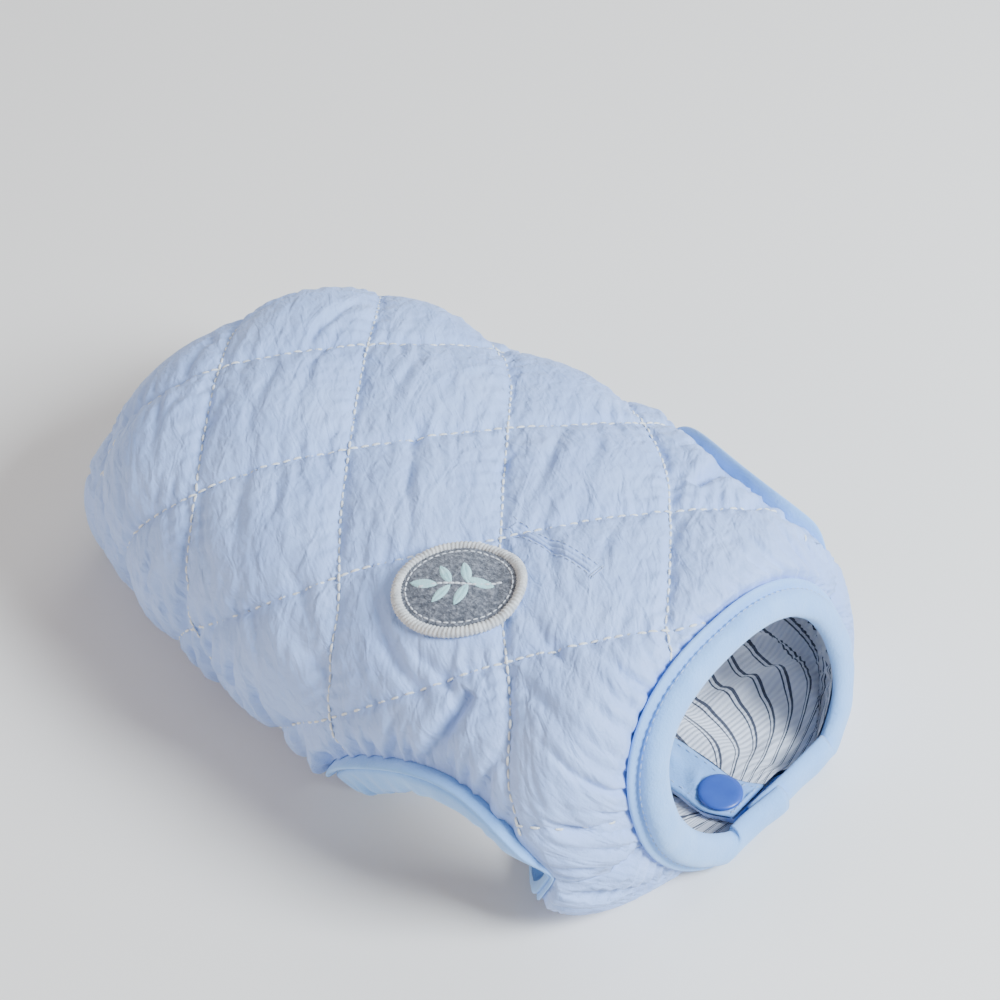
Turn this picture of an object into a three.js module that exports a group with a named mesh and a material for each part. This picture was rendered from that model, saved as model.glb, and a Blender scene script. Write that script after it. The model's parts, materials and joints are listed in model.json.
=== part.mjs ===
// Dog winter coat: a quilted, lined vest that lies on its belly, filled out with no wearer.
// Millimetres. +X points to the neck, -Y is the wearer's right side, +Z is up and z = 0 is the floor.
//
// The cloth is described in two steps. The form is the smooth hollow shape of the shell's inner face,
// cut by a row of section planes from the neck seam to the tail. Cloth coordinates run over that form:
// u is the distance behind the neck seam along the top, and w is the distance from the centre back round
// a section, negative on the wearer's right. Every piece is cut in cloth coordinates and moved out or in.

import * as THREE from "three";

// Thickness of the layers, and the gap at every seam
const WALL = 1.6;
const PUFF = 3.6;
const FLOOR_PUFF = 0.3;
const LINING = 1.0;
const TAPE = 0.9;
const SEAM_GAP = 0.3;
const LINING_GAP = 1.35;
const FORM_FLOOR = WALL + FLOOR_PUFF;

// Section planes from the neck seam to the tail hem. foot is where the plane meets the floor, tilt leans
// its top to the tail in degrees, rise is the height in the plane, lean shears the top to the right and
// belly says how square the section's lower corners are.
const SECTIONS = [
  { foot: 110, tilt: 11, rise: 72, halfWidth: 41.5, lean: 0.22, centre: -1, belly: 2 },
  { foot: 102, tilt: 9, rise: 74.5, halfWidth: 57.5, lean: 0.21, centre: -6, belly: 3.1 },
  { foot: 91, tilt: 6, rise: 75, halfWidth: 65.5, lean: 0.2, centre: -5, belly: 3.4 },
  { foot: 67, tilt: 2, rise: 74, halfWidth: 69.5, lean: 0.17, centre: -3, belly: 3 },
  { foot: 32, tilt: 0, rise: 73, halfWidth: 71.5, lean: 0.13, centre: -2.5, belly: 3 },
  { foot: -4, tilt: 0, rise: 72.5, halfWidth: 69.5, lean: 0.1, centre: -3, belly: 3 },
  { foot: -32, tilt: 0, rise: 72.5, halfWidth: 65.5, lean: 0.08, centre: -3, belly: 3 },
  { foot: -48, tilt: 8, rise: 72, halfWidth: 62.5, lean: 0.06, centre: -2, belly: 3 },
  { foot: -54, tilt: 20, rise: 71, halfWidth: 60, lean: 0.05, centre: -0.5, belly: 3 },
  { foot: -61, tilt: 33, rise: 63, halfWidth: 56.5, lean: 0.04, centre: 1, belly: 3 },
  { foot: -71, tilt: 47, rise: 47.5, halfWidth: 51.5, lean: 0.02, centre: 2, belly: 3 },
  { foot: -83, tilt: 59, rise: 25.5, halfWidth: 45, lean: 0, centre: 2.5, belly: 3 },
];
// Place of the finished piece's middle in the table's coordinates, which the frame's origin lies under
const MIDDLE = { x: 2.76, y: -3.65 };
const TOP_FULLNESS = 2.4;
const WAIST_SHARE = 0.46;
const BELLY_DROP = 1.12;
const SECTION_STEPS = 240;
const STATION_STEPS = 40;

// The whole cloth is turned a little round the body, to the wearer's right, and so is the belly closure.
const CLOTH_ROLL = 6;
const BELLY_TURN = 13;

// Diamond quilting: a diamond's two diagonals, one crossing of its lines and how full a puff is
const DIAMOND_LONG = 54;
const DIAMOND_WIDE = 70;
const CROSSING = { u: 9, w: -7 };
const NECK_SWAY = { shift: 8.5, length: 80 };
const PUFF_ROUNDNESS = 0.62;
const STEPS_PER_DIAMOND = 6;
const EDGE_FLATTEN = 7;
const FLOOR_FLATTEN = 14;

// Outline of the panels in cloth coordinates, the same on both sides
const CHEST_SEAM_START = 61;
const ARMHOLE = { front: 11, rear: 81, frontW: 80, rearW: 109, rise: 25, drop: 38, dip: 16, endStep: 1.2 };
const SIDE_SEAM_END = 119;
const BELLY_HEM = { curve: 10, length: 9 };
const FLANK_TUCK = 5;
const FLANK_CURVE = { width: 9, length: 12 };
const TAIL_TUCK_START = 150;

// Belly closure: how far each panel passes the belly centre, and how high the layers are stacked
const LAP = 9;
const LAP_BLEND = 12;
const UNDER_LIFT = 1.5;
const OVER_LIFT = 5.9;
const TAPE_WIDTH = 14;
const SNAP_U = [8, 50, 92];
const SNAP_PAST_CENTRE = 2;
const SNAP_RADIUS = 6.2;
const SNAP_HEIGHT = 1.5;
const SNAP_SIDES = 20;

// Folds pressed into the shell above each armhole, where its elastic gathers the cloth
const ARMHOLE_FOLDS = [
  { u: 27, depth: 2.4, width: 4, reach: 22 },
  { u: 40.5, depth: 4.2, width: 4.5, reach: 36 },
  { u: 54, depth: 2.2, width: 4, reach: 20 },
  { u: 67.5, depth: 1.8, width: 4, reach: 15 },
];
const FLANK_GATHER = { from: 124, pitch: 18, depth: 1.3, reach: 26 };

// Patch on the right of the back and leash slit on the centre back
const PATCH = { u: 58.5, w: -26, halfLong: 17.5, halfWide: 14.5, turn: -0.71, thick: 1.2, border: 2.4 };
const SLIT = { from: 34, to: 63, w: -1, width: 3.2, height: 1.1 };

const radians = (degrees) => (degrees * Math.PI) / 180;
const clamp01 = (value) => Math.min(1, Math.max(0, value));
const ease = (value) => clamp01(value) ** 2 * (3 - 2 * clamp01(value));
const mix = (from, to, share) => from + (to - from) * share;
const signedPower = (value, power) => Math.sign(value) * Math.abs(value) ** power;

// A column of the section table as a smooth curve through its rows
function column(key, station) {
  const last = SECTIONS.length - 1;
  const row = Math.min(last - 1, Math.max(0, Math.floor(station)));
  const share = station - row;
  const before = SECTIONS[Math.max(0, row - 1)][key];
  const start = SECTIONS[row][key];
  const end = SECTIONS[row + 1][key];
  const after = SECTIONS[Math.min(last, row + 2)][key];
  const slopeIn = (end - before) / 2;
  const slopeOut = (after - start) / 2;
  const square = share * share;
  const cube = square * share;
  return (
    start * (2 * cube - 3 * square + 1) +
    slopeIn * (cube - 2 * square + share) +
    end * (3 * square - 2 * cube) +
    slopeOut * (cube - square)
  );
}

// One closed section: points from the belly up the right side, over the top and down the left side,
// with their distance from the top point.
function makeSection(station) {
  const foot = column("foot", station) - MIDDLE.x;
  const tilt = radians(column("tilt", station));
  const rise = column("rise", station);
  const halfWidth = column("halfWidth", station);
  const lean = column("lean", station);
  const centre = column("centre", station) - MIDDLE.y;
  const belly = column("belly", station);
  const waist = rise * WAIST_SHARE;
  const points = [];
  for (let step = 0; step <= SECTION_STEPS; step += 1) {
    const angle = -Math.PI + (2 * Math.PI * step) / SECTION_STEPS;
    const up = Math.cos(angle);
    const fullness = up >= 0 ? TOP_FULLNESS : belly;
    const reach = up >= 0 ? rise - waist : waist * BELLY_DROP;
    const lift = reach * signedPower(up, 2 / fullness);
    const side = centre + halfWidth * signedPower(Math.sin(angle), 2 / fullness) - lean * lift;
    const z = Math.max((waist + lift) * Math.cos(tilt), FORM_FLOOR);
    points.push(new THREE.Vector3(foot - z * Math.tan(tilt), side, z));
  }
  const arcs = [0];
  for (let step = 1; step <= SECTION_STEPS; step += 1) {
    arcs.push(arcs[step - 1] + points[step].distanceTo(points[step - 1]));
  }
  const top = SECTION_STEPS / 2;
  const topArc = arcs[top];
  return {
    points,
    arcs: arcs.map((arc) => arc - topArc),
    girth: arcs[SECTION_STEPS],
    normal: new THREE.Vector3(Math.cos(tilt), 0, Math.sin(tilt)),
    top: points[top],
  };
}

// Distance along the top from the neck seam to every fine station, and its inverse
const stationTable = [];
for (let step = 0; step <= (SECTIONS.length - 1) * STATION_STEPS; step += 1) {
  const station = step / STATION_STEPS;
  const top = makeSection(station).top;
  const previous = stationTable[step - 1];
  const u = previous ? previous.u + top.distanceTo(previous.top) : 0;
  stationTable.push({ station, top, u });
}
const BACK_LENGTH = stationTable[stationTable.length - 1].u;

const sectionCache = new Map();
function sectionAt(u) {
  const key = u.toFixed(3);
  if (!sectionCache.has(key)) {
    const wanted = Math.min(BACK_LENGTH, Math.max(0, u));
    const next = Math.max(1, stationTable.findIndex((row) => row.u >= wanted));
    const low = stationTable[next - 1];
    const high = stationTable[next];
    const share = (wanted - low.u) / (high.u - low.u);
    sectionCache.set(key, makeSection(mix(low.station, high.station, share)));
  }
  return sectionCache.get(key);
}

// Distance from the centre back round one side to the belly closure
const bellyCentre = (u, side) => sectionAt(u).girth / 2 + side * BELLY_TURN;

// Point of the form at cloth coordinates; past the belly centre it wraps round to the other side.
function formPoint(u, w) {
  const { points, arcs, girth } = sectionAt(u);
  let arc = w - CLOTH_ROLL;
  if (arc > arcs[SECTION_STEPS]) arc -= girth;
  if (arc < arcs[0]) arc += girth;
  let low = 0;
  let high = SECTION_STEPS;
  while (high - low > 1) {
    const middle = (low + high) >> 1;
    if (arcs[middle] <= arc) low = middle;
    else high = middle;
  }
  const span = arcs[high] - arcs[low];
  const share = span > 0 ? (arc - arcs[low]) / span : 0;
  return points[low].clone().lerp(points[high], share);
}

// Unit normal of the form, pointing out of the body
function formNormal(u, w) {
  const step = 1.5;
  const along = formPoint(Math.min(u + step, BACK_LENGTH), w).sub(formPoint(Math.max(u - step, 0), w));
  const across = formPoint(u, w + step).sub(formPoint(u, w - step));
  return across.cross(along).normalize();
}

// Normal at the neck edge, turned into the plane of the neck seam so that the edge is cut square
function neckNormal(w) {
  const normal = formNormal(0, w);
  const plane = sectionAt(0).normal;
  return normal.addScaledVector(plane, -normal.dot(plane)).normalize();
}

// Point moved out of the form by a distance, or in where it is negative, and never under the floor
function clothPoint(u, w, out, lift = 0) {
  const normal = u <= SEAM_GAP ? neckNormal(w) : formNormal(u, w);
  const point = formPoint(u, w).addScaledVector(normal, out);
  point.z = Math.max(point.z, 0) + lift;
  return point;
}

// Height above the form's floor from which a point counts as being on the wall
const FLOOR_MARGIN = 0.05;

// Hem of the back panel on one flank: where the section meets the floor, and a tuck that turns under and
// fades out round the tail
function flankHem(u, side) {
  const { points, arcs } = sectionAt(u);
  const onWall = (point) => point.z > FORM_FLOOR + FLOOR_MARGIN;
  const right = points.findIndex(onWall);
  const left = points.length - 1 - [...points].reverse().findIndex(onWall);
  const corner = side > 0 ? arcs[left] + CLOTH_ROLL : -arcs[right] - CLOTH_ROLL;
  const tuck = FLANK_TUCK * (1 - ease((u - TAIL_TUCK_START) / (BACK_LENGTH - TAIL_TUCK_START)));
  return corner + tuck + FLANK_CURVE.width * Math.exp((SIDE_SEAM_END - u) / FLANK_CURVE.length);
}

// Distance of the armhole's edge from the line between its two ends, as half an ellipse
function armholeBulge(u) {
  const middle = (ARMHOLE.front + ARMHOLE.rear) / 2;
  const half = (ARMHOLE.rear - ARMHOLE.front) / 2;
  return Math.sqrt(Math.max(0, 1 - ((u - middle) / half) ** 2));
}

// Distance from the centre back to the edge of a panel where back and chest meet, on one side. At the
// armhole face is 1 for the back panel's edge and -1 for the chest panel's.
function seamLine(u, face, side) {
  const { front, rear, frontW, rearW, rise, drop, dip } = ARMHOLE;
  if (u < front) return mix(CHEST_SEAM_START, frontW, Math.sin((Math.PI / 2) * (u / front)));
  if (u < rear) {
    const bulge = armholeBulge(u);
    const away = face > 0 ? -rise * bulge : drop * bulge + dip * bulge ** 3;
    return mix(frontW, rearW, (u - front) / (rear - front)) + away;
  }
  return mix(rearW, flankHem(SIDE_SEAM_END, side), (u - rear) / (SIDE_SEAM_END - rear));
}

// Half the gap at the seam; ahead of the armhole the seam runs aslant, so its gap is wider along w.
const HALF_GAP_SHARES = { slanting: 2.2, straight: 0.8 };
const halfGap = (u) => SEAM_GAP * (u < ARMHOLE.front ? HALF_GAP_SHARES.slanting : HALF_GAP_SHARES.straight);
const backEdge = (u, side) => (u < SIDE_SEAM_END ? seamLine(u, 1, side) : flankHem(u, side)) - halfGap(u);
const chestEdge = (u, side) => seamLine(u, -1, side) + halfGap(u);

// How far the quilting is pulled towards the wearer's left; the neck's gathers pull it, and it fades out
const neckSway = (u) => NECK_SWAY.shift * ease(1 - u / NECK_SWAY.length);

// Numbers of the two stitched lines at a point, one of each family; a line lies where its number is whole
function lineNumbers(u, w) {
  const lengthwise = (u - CROSSING.u) / DIAMOND_LONG;
  const crosswise = (w - neckSway(u) - CROSSING.w) / DIAMOND_WIDE;
  return [lengthwise + crosswise, lengthwise - crosswise];
}

// How far the wadding lifts the shell: nothing along the stitched lines and most inside a diamond
function puffHeight(u, w, edgeDistance, height) {
  const [first, second] = lineNumbers(u, w);
  const pillow = Math.abs(Math.sin(Math.PI * first) * Math.sin(Math.PI * second)) ** PUFF_ROUNDNESS;
  const flattened = ease(edgeDistance / EDGE_FLATTEN) * ease((height - FORM_FLOOR) / FLOOR_FLATTEN);
  return PUFF * pillow * flattened;
}

// Depth of the folds that the armhole's elastic and the flank's elastic draw into the shell
function foldDepth(u, edgeDistance) {
  let depth = 0;
  for (const fold of ARMHOLE_FOLDS) {
    const across = Math.exp(-(((u - fold.u) / fold.width) ** 2));
    depth += fold.depth * across * ease(1 - edgeDistance / fold.reach);
  }
  if (u > FLANK_GATHER.from) {
    const wave = 0.5 - 0.5 * Math.cos((2 * Math.PI * (u - FLANK_GATHER.from)) / FLANK_GATHER.pitch);
    depth += FLANK_GATHER.depth * wave * ease(1 - edgeDistance / FLANK_GATHER.reach);
  }
  return depth;
}

// Outer face of the quilted shell at cloth coordinates
function shellPoint(u, w, edgeDistance, lift = 0) {
  const form = formPoint(u, w);
  if (form.z <= FORM_FLOOR + FLOOR_MARGIN / 5) return new THREE.Vector3(form.x, form.y, lift);
  const puff = puffHeight(u, w, edgeDistance, form.z);
  const thickness = Math.max(WALL, WALL + puff - foldDepth(u, edgeDistance));
  return clothPoint(u, w, thickness, lift);
}

// Closed solid from two matching grids of points, outer face first. A cell is split along the stitched
// line that runs nearest to it.
function solidFromGrids(outer, inner, splitsBack = () => false) {
  const rows = outer.length;
  const columns = outer[0].length;
  const positions = [];
  const indices = [];
  for (const grid of [outer, inner]) {
    for (const row of grid) row.forEach((point) => positions.push(point.x, point.y, point.z));
  }
  const at = (face, row, col) => face * rows * columns + row * columns + col;
  const quad = (a, b, c, d, back) => {
    if (back) indices.push(a, b, d, b, c, d);
    else indices.push(a, b, c, a, c, d);
  };
  for (let row = 0; row < rows - 1; row += 1) {
    for (let col = 0; col < columns - 1; col += 1) {
      const back = splitsBack(row, col);
      quad(at(0, row, col), at(0, row, col + 1), at(0, row + 1, col + 1), at(0, row + 1, col), back);
      quad(at(1, row, col), at(1, row + 1, col), at(1, row + 1, col + 1), at(1, row, col + 1), back);
    }
  }
  for (let row = 0; row < rows - 1; row += 1) {
    const end = columns - 1;
    quad(at(1, row, 0), at(0, row, 0), at(0, row + 1, 0), at(1, row + 1, 0), false);
    quad(at(0, row, end), at(1, row, end), at(1, row + 1, end), at(0, row + 1, end), false);
  }
  for (let col = 0; col < columns - 1; col += 1) {
    const end = rows - 1;
    quad(at(0, 0, col), at(1, 0, col), at(1, 0, col + 1), at(0, 0, col + 1), false);
    quad(at(1, end, col), at(0, end, col), at(0, end, col + 1), at(1, end, col + 1), false);
  }
  const geometry = new THREE.BufferGeometry();
  geometry.setAttribute("position", new THREE.Float32BufferAttribute(positions, 3));
  geometry.setIndex(indices);
  return facingOut(geometry);
}

// Turns every face over where the solid's signed volume says that it faces in
function facingOut(geometry) {
  const position = geometry.getAttribute("position");
  const index = geometry.getIndex();
  const corner = [new THREE.Vector3(), new THREE.Vector3(), new THREE.Vector3()];
  let volume = 0;
  for (let face = 0; face < index.count; face += 3) {
    corner.forEach((point, k) => point.fromBufferAttribute(position, index.getX(face + k)));
    volume += corner[0].dot(corner[1].clone().cross(corner[2]));
  }
  if (volume < 0) {
    for (let face = 0; face < index.count; face += 3) {
      const second = index.getX(face + 1);
      index.setX(face + 1, index.getX(face + 2));
      index.setX(face + 2, second);
    }
  }
  return geometry;
}

// Solid swept along stations: each station is a ring of points round the profile
function solidFromRings(rings, closed) {
  const sides = rings[0].length;
  const positions = [];
  const indices = [];
  for (const ring of rings) ring.forEach((point) => positions.push(point.x, point.y, point.z));
  const last = closed ? rings.length : rings.length - 1;
  for (let station = 0; station < last; station += 1) {
    const next = (station + 1) % rings.length;
    for (let side = 0; side < sides; side += 1) {
      const turn = (side + 1) % sides;
      const a = station * sides + side;
      const b = station * sides + turn;
      const c = next * sides + turn;
      const d = next * sides + side;
      indices.push(a, b, c, a, c, d);
    }
  }
  if (!closed) {
    const end = (rings.length - 1) * sides;
    const caps = THREE.ShapeUtils.triangulateShape(flatOutline(rings[0]), []);
    for (const [a, b, c] of caps) indices.push(a, c, b, end + a, end + b, end + c);
  }
  const geometry = new THREE.BufferGeometry();
  geometry.setAttribute("position", new THREE.Float32BufferAttribute(positions, 3));
  geometry.setIndex(indices);
  return facingOut(geometry);
}

// A ring of points laid flat, so that its end cap can be split into triangles
function flatOutline(ring) {
  const origin = ring[0];
  const across = ring[1].clone().sub(origin).normalize();
  const normal = new THREE.Vector3();
  ring.forEach((point, k) => {
    const next = ring[(k + 1) % ring.length];
    normal.add(point.clone().sub(origin).cross(next.clone().sub(origin)));
  });
  const up = normal.normalize().cross(across);
  return ring.map((point) => {
    const offset = point.clone().sub(origin);
    return new THREE.Vector2(offset.dot(across), offset.dot(up));
  });
}

const ROW_STEP = DIAMOND_LONG / STEPS_PER_DIAMOND;
const COLUMN_STEP = DIAMOND_WIDE / STEPS_PER_DIAMOND;

// Rows from the neck seam to an end: on the quilting grid, twice as close as far as the armhole goes
const CLOSEST_ROWS = 0.3 * ROW_STEP;
function rowValues(end) {
  const values = [SEAM_GAP, ARMHOLE.front + ARMHOLE.endStep, ARMHOLE.rear - ARMHOLE.endStep, end];
  for (let k = -2; CROSSING.u + (k * ROW_STEP) / 2 < end - CLOSEST_ROWS; k += 1) {
    const value = CROSSING.u + (k * ROW_STEP) / 2;
    const fine = value <= ARMHOLE.rear;
    if (value > SEAM_GAP + CLOSEST_ROWS && (fine || k % 2 === 0)) values.push(value);
  }
  return values.sort((a, b) => a - b);
}

// Columns of the back panel: on the quilting grid over the back, evenly spaced down to each edge
const GRID_COLUMNS = { first: -5, last: 6 };
const EDGE_COLUMNS = 5;
const GRID_SHARE = 0.72;
function backColumns(u) {
  const right = -backEdge(u, -1);
  const left = backEdge(u, 1);
  const middle = CROSSING.w + neckSway(u);
  const first = middle + GRID_COLUMNS.first * COLUMN_STEP;
  const last = middle + GRID_COLUMNS.last * COLUMN_STEP;
  const squeeze = Math.min(1, (GRID_SHARE * right) / first, (GRID_SHARE * left) / last);
  const values = [];
  for (let k = 0; k < EDGE_COLUMNS; k += 1) values.push(mix(right, first * squeeze, k / EDGE_COLUMNS));
  for (let k = GRID_COLUMNS.first; k <= GRID_COLUMNS.last; k += 1) {
    values.push((middle + k * COLUMN_STEP) * squeeze);
  }
  for (let k = 1; k <= EDGE_COLUMNS; k += 1) values.push(mix(last * squeeze, left, k / EDGE_COLUMNS));
  return values;
}

// True where a cell lies nearer to a stitched line of the second family
function nearSecondLine(u, w) {
  const [first, second] = lineNumbers(u, w);
  const away = (value) => Math.abs(value - Math.round(value));
  return away(first) < away(second);
}

// Grid of cloth coordinates, each with its distance to the nearest open edge
const backRows = rowValues(BACK_LENGTH);
const backGrid = backRows.map((u) =>
  backColumns(u).map((w) => {
    const toEdge = Math.min(backEdge(u, 1) - w, backEdge(u, -1) + w);
    return { u, w, edge: Math.min(toEdge, u, BACK_LENGTH - u) };
  }),
);

const pointsOf = (grid, place) => grid.map((row) => row.map(place));
const splitsOf = (grid) => (row, col) => {
  const a = grid[row][col];
  const b = grid[row + 1][col + 1];
  return nearSecondLine((a.u + b.u) / 2, (a.w + b.w) / 2);
};

function backPanel() {
  const outer = pointsOf(backGrid, ({ u, w, edge }) => shellPoint(u, w, edge));
  const inner = pointsOf(backGrid, ({ u, w }) => clothPoint(u, w, 0));
  return solidFromGrids(outer, inner, splitsOf(backGrid));
}

// Grid of a chest panel: rows run back from the neck seam. Columns run evenly from the side seam to the
// start of the lap, and then at set distances from the belly centre.
const SIDE_COLUMNS = 5;
const LAP_START = LAP + LAP_BLEND;
const LAP_COLUMNS = [LAP + LAP_BLEND / 2, LAP, 0, -LAP];
const chestRows = rowValues(SIDE_SEAM_END);

// The belly hem curves forward from the side seam to the belly centre.
function bellyHemShift(rowU, fromSide) {
  return BELLY_HEM.curve * (1 - Math.exp(-fromSide / BELLY_HEM.length)) * (rowU / SIDE_SEAM_END) ** 2;
}

function chestGrid(side, lapColumns, inset = () => 0) {
  return chestRows.map((rowU) => {
    const start = chestEdge(rowU, side) + inset(rowU);
    const distanceAt = (u, col) => {
      const centre = bellyCentre(u, side);
      if (col > SIDE_COLUMNS) return centre - lapColumns[col - SIDE_COLUMNS - 1];
      return mix(start, centre - LAP_START, col / SIDE_COLUMNS);
    };
    const cells = [];
    for (let col = 0; col <= SIDE_COLUMNS + lapColumns.length; col += 1) {
      const guess = distanceAt(rowU, col);
      const u = Math.max(SEAM_GAP, rowU - bellyHemShift(rowU, guess - start));
      const distance = distanceAt(u, col);
      const edge = Math.min(distance - start, rowU, SIDE_SEAM_END - rowU);
      cells.push({ u, w: side * distance, edge, toCentre: bellyCentre(u, side) - distance });
    }
    return side > 0 ? cells : cells.reverse();
  });
}

// Lift of a chest panel near the belly centre, where the left panel laps over the right one
function lapLift(side, toCentre) {
  const height = side > 0 ? OVER_LIFT : UNDER_LIFT;
  return height * ease(1 - (toCentre - LAP) / LAP_BLEND);
}

function chestPanel(side) {
  const grid = chestGrid(side, LAP_COLUMNS);
  const outer = pointsOf(grid, ({ u, w, edge, toCentre }) => shellPoint(u, w, edge, lapLift(side, toCentre)));
  const inner = pointsOf(grid, ({ u, w, toCentre }) => clothPoint(u, w, 0, lapLift(side, toCentre)));
  return solidFromGrids(outer, inner, splitsOf(grid));
}

// Linings: thin sheets inside the shell, kept back from the bindings
const LINING_OUT = -LINING_GAP;
const LINING_IN = -LINING_GAP - LINING;
const LINING_INSET = 2.4;
function liningInset(u) {
  const alongArmhole = u > ARMHOLE.front - 1 && u < ARMHOLE.rear + 1;
  return alongArmhole || u > SIDE_SEAM_END - 1 ? LINING_INSET : 0;
}

// Grid of the back lining: every second column over the top, all of them down to the edges
function backLining() {
  const keeps = (col, last) => {
    const nearEdge = Math.min(col, last - col) <= EDGE_COLUMNS;
    return nearEdge || (col - EDGE_COLUMNS) % 2 === 0;
  };
  const grid = backGrid.map((row) => {
    const last = row.length - 1;
    return row
      .map(({ u, w }, col) => {
        const atEdge = col === 0 || col === last;
        const inset = atEdge ? Math.sign(w) * liningInset(u) : 0;
        return { u: Math.min(u, BACK_LENGTH - LINING_INSET), w: w - inset };
      })
      .filter((_, col) => keeps(col, last));
  });
  const outer = pointsOf(grid, ({ u, w }) => clothPoint(u, w, LINING_OUT));
  const inner = pointsOf(grid, ({ u, w }) => clothPoint(u, w, LINING_IN));
  return solidFromGrids(outer, inner, splitsOf(grid));
}

function chestLining(side) {
  const lapColumns = [...LAP_COLUMNS.slice(0, 2), TAPE_WIDTH - LAP + 2 * SEAM_GAP];
  const grid = chestGrid(side, lapColumns, liningInset);
  grid.at(-1).forEach((cell) => (cell.u -= LINING_INSET));
  const place = (out) => ({ u, w, toCentre }) => clothPoint(u, w, out, lapLift(side, toCentre));
  return solidFromGrids(pointsOf(grid, place(LINING_OUT)), pointsOf(grid, place(LINING_IN)), splitsOf(grid));
}

// Tape on the inner face of a chest panel's free edge, which carries the snaps
function placketTape(side) {
  const grid = chestRows.filter((_, k) => k % 2 === 0).map((rowU) => {
    const u = Math.max(SEAM_GAP, rowU - BELLY_HEM.curve * (rowU / SIDE_SEAM_END) ** 2);
    const cells = [0, 0.5, 1].map((share) => {
      const toCentre = mix(TAPE_WIDTH - LAP, -LAP, share);
      return { u, w: side * (bellyCentre(u, side) - toCentre), toCentre };
    });
    return side > 0 ? cells : cells.reverse();
  });
  const place = (out) => ({ u, w, toCentre }) => clothPoint(u, w, out, lapLift(side, toCentre));
  return solidFromGrids(pointsOf(grid, place(-SEAM_GAP)), pointsOf(grid, place(-SEAM_GAP - TAPE)));
}

// Snap cap: a low dome on the lapped panels, above the upper tape or under the lower panel
function snapCap(u, top) {
  const toCentre = -SNAP_PAST_CENTRE;
  const centre = formPoint(u, bellyCentre(u, 1) - toCentre);
  const seat = top ? FORM_FLOOR + OVER_LIFT + 2 * SEAM_GAP + TAPE : UNDER_LIFT - SEAM_GAP;
  const height = top ? SNAP_HEIGHT : UNDER_LIFT - SEAM_GAP;
  const profile = [
    new THREE.Vector2(0, 0),
    new THREE.Vector2(SNAP_RADIUS - 0.3, 0),
    new THREE.Vector2(SNAP_RADIUS, height * 0.35),
    new THREE.Vector2(SNAP_RADIUS * 0.8, height * 0.85),
    new THREE.Vector2(0, height),
  ];
  const geometry = new THREE.LatheGeometry(profile, SNAP_SIDES);
  geometry.rotateX(Math.PI / 2);
  if (!top) geometry.rotateX(Math.PI);
  geometry.translate(centre.x, centre.y, seat);
  return geometry;
}

// Profiles of the bindings: beyond is the distance past the panel's edge, out is along the normal.
// Each starts with a raised lip at the seam, and its soft band then curls in.
const NECK_PROFILE = [
  { beyond: 0.4, out: 2 },
  { beyond: 1.2, out: 3.4 },
  { beyond: 2.6, out: 3.4 },
  { beyond: 3.4, out: 2.1 },
  { beyond: 5.2, out: 0.9 },
  { beyond: 6.6, out: -1.6 },
  { beyond: 6.8, out: -4.6 },
  { beyond: 5.8, out: -6.8 },
  { beyond: 4.2, out: -7.6 },
  { beyond: 3.4, out: -6.4 },
  { beyond: 4.8, out: -4.4 },
  { beyond: 4.2, out: -1.6 },
  { beyond: 0.4, out: -1.3 },
];
const BAND_PROFILE = [
  { beyond: 0.4, out: 2.2 },
  { beyond: 1.3, out: 3.4 },
  { beyond: 2.5, out: 3.4 },
  { beyond: 3.3, out: 2.2 },
  { beyond: 6.4, out: 1.3 },
  { beyond: 9.8, out: -1.2 },
  { beyond: 9.4, out: -3 },
  { beyond: 6, out: -0.9 },
  { beyond: 0.4, out: -1.3 },
];
const LIP_WIDTH = 3.3;
const HEM_WIDTH_SHARE = 0.85;
const NARROW_BAND = 0.12;
const SMALL_LIP = 0.5;
const BAND_TAPER = 16;
const END_CLEAR = 3.3;
const EDGE_CLEAR = 0.15;
const TAIL_CLEAR = 1.6;
const TAIL_REACH = 40;
const SEAM_END_CLEAR = 0.8;
const SEAM_END_REACH = 24;
const NARROWED = 0.7;

// One station of a binding: the profile at an edge point, lifted clear of the floor. width scales its
// soft band, size the whole of it, and clear moves it away from the edge.
function bindingRing(station, profile, width, size = 1, clear = 0) {
  const ring = profile.map(({ beyond, out }) => {
    const past = beyond > LIP_WIDTH ? LIP_WIDTH + (beyond - LIP_WIDTH) * width : beyond;
    return station.point
      .clone()
      .addScaledVector(station.beyond, past * size + clear)
      .addScaledVector(station.normal, out * size * (beyond > LIP_WIDTH ? mix(1, width, 0.5) : 1));
  });
  const lowest = Math.min(...ring.map((point) => point.z));
  if (lowest < 0) ring.forEach((point) => (point.z -= lowest));
  return ring;
}

function neckBinding() {
  const stations = 56;
  const right = -bellyCentre(0, -1) + SEAM_GAP;
  const left = bellyCentre(0, 1) - SEAM_GAP;
  const rings = [];
  for (let step = 0; step <= stations; step += 1) {
    const w = mix(right, left, step / stations);
    const station = { point: formPoint(0, w), beyond: sectionAt(0).normal, normal: neckNormal(w) };
    rings.push(bindingRing(station, NECK_PROFILE, 1));
  }
  return solidFromRings(rings, false);
}

// Adds to each point of an edge the direction that lies in the cloth and points past the edge
function edgeStations(edge, closed) {
  const last = edge.length - 1;
  return edge.map((cell, k) => {
    const before = edge[closed ? (k + last) % edge.length : Math.max(0, k - 1)];
    const after = edge[closed ? (k + 1) % edge.length : Math.min(last, k + 1)];
    const forward = after.point.clone().sub(cell.point).normalize();
    const backward = cell.point.clone().sub(before.point).normalize();
    const tangent = forward.add(backward).normalize();
    const beyond = tangent.cross(cell.normal).normalize();
    return { ...cell, beyond };
  });
}

const edgeCell = (u, w, lift = 0) => {
  const point = formPoint(u, w);
  point.z += lift;
  return { point, normal: formNormal(u, w) };
};

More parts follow.
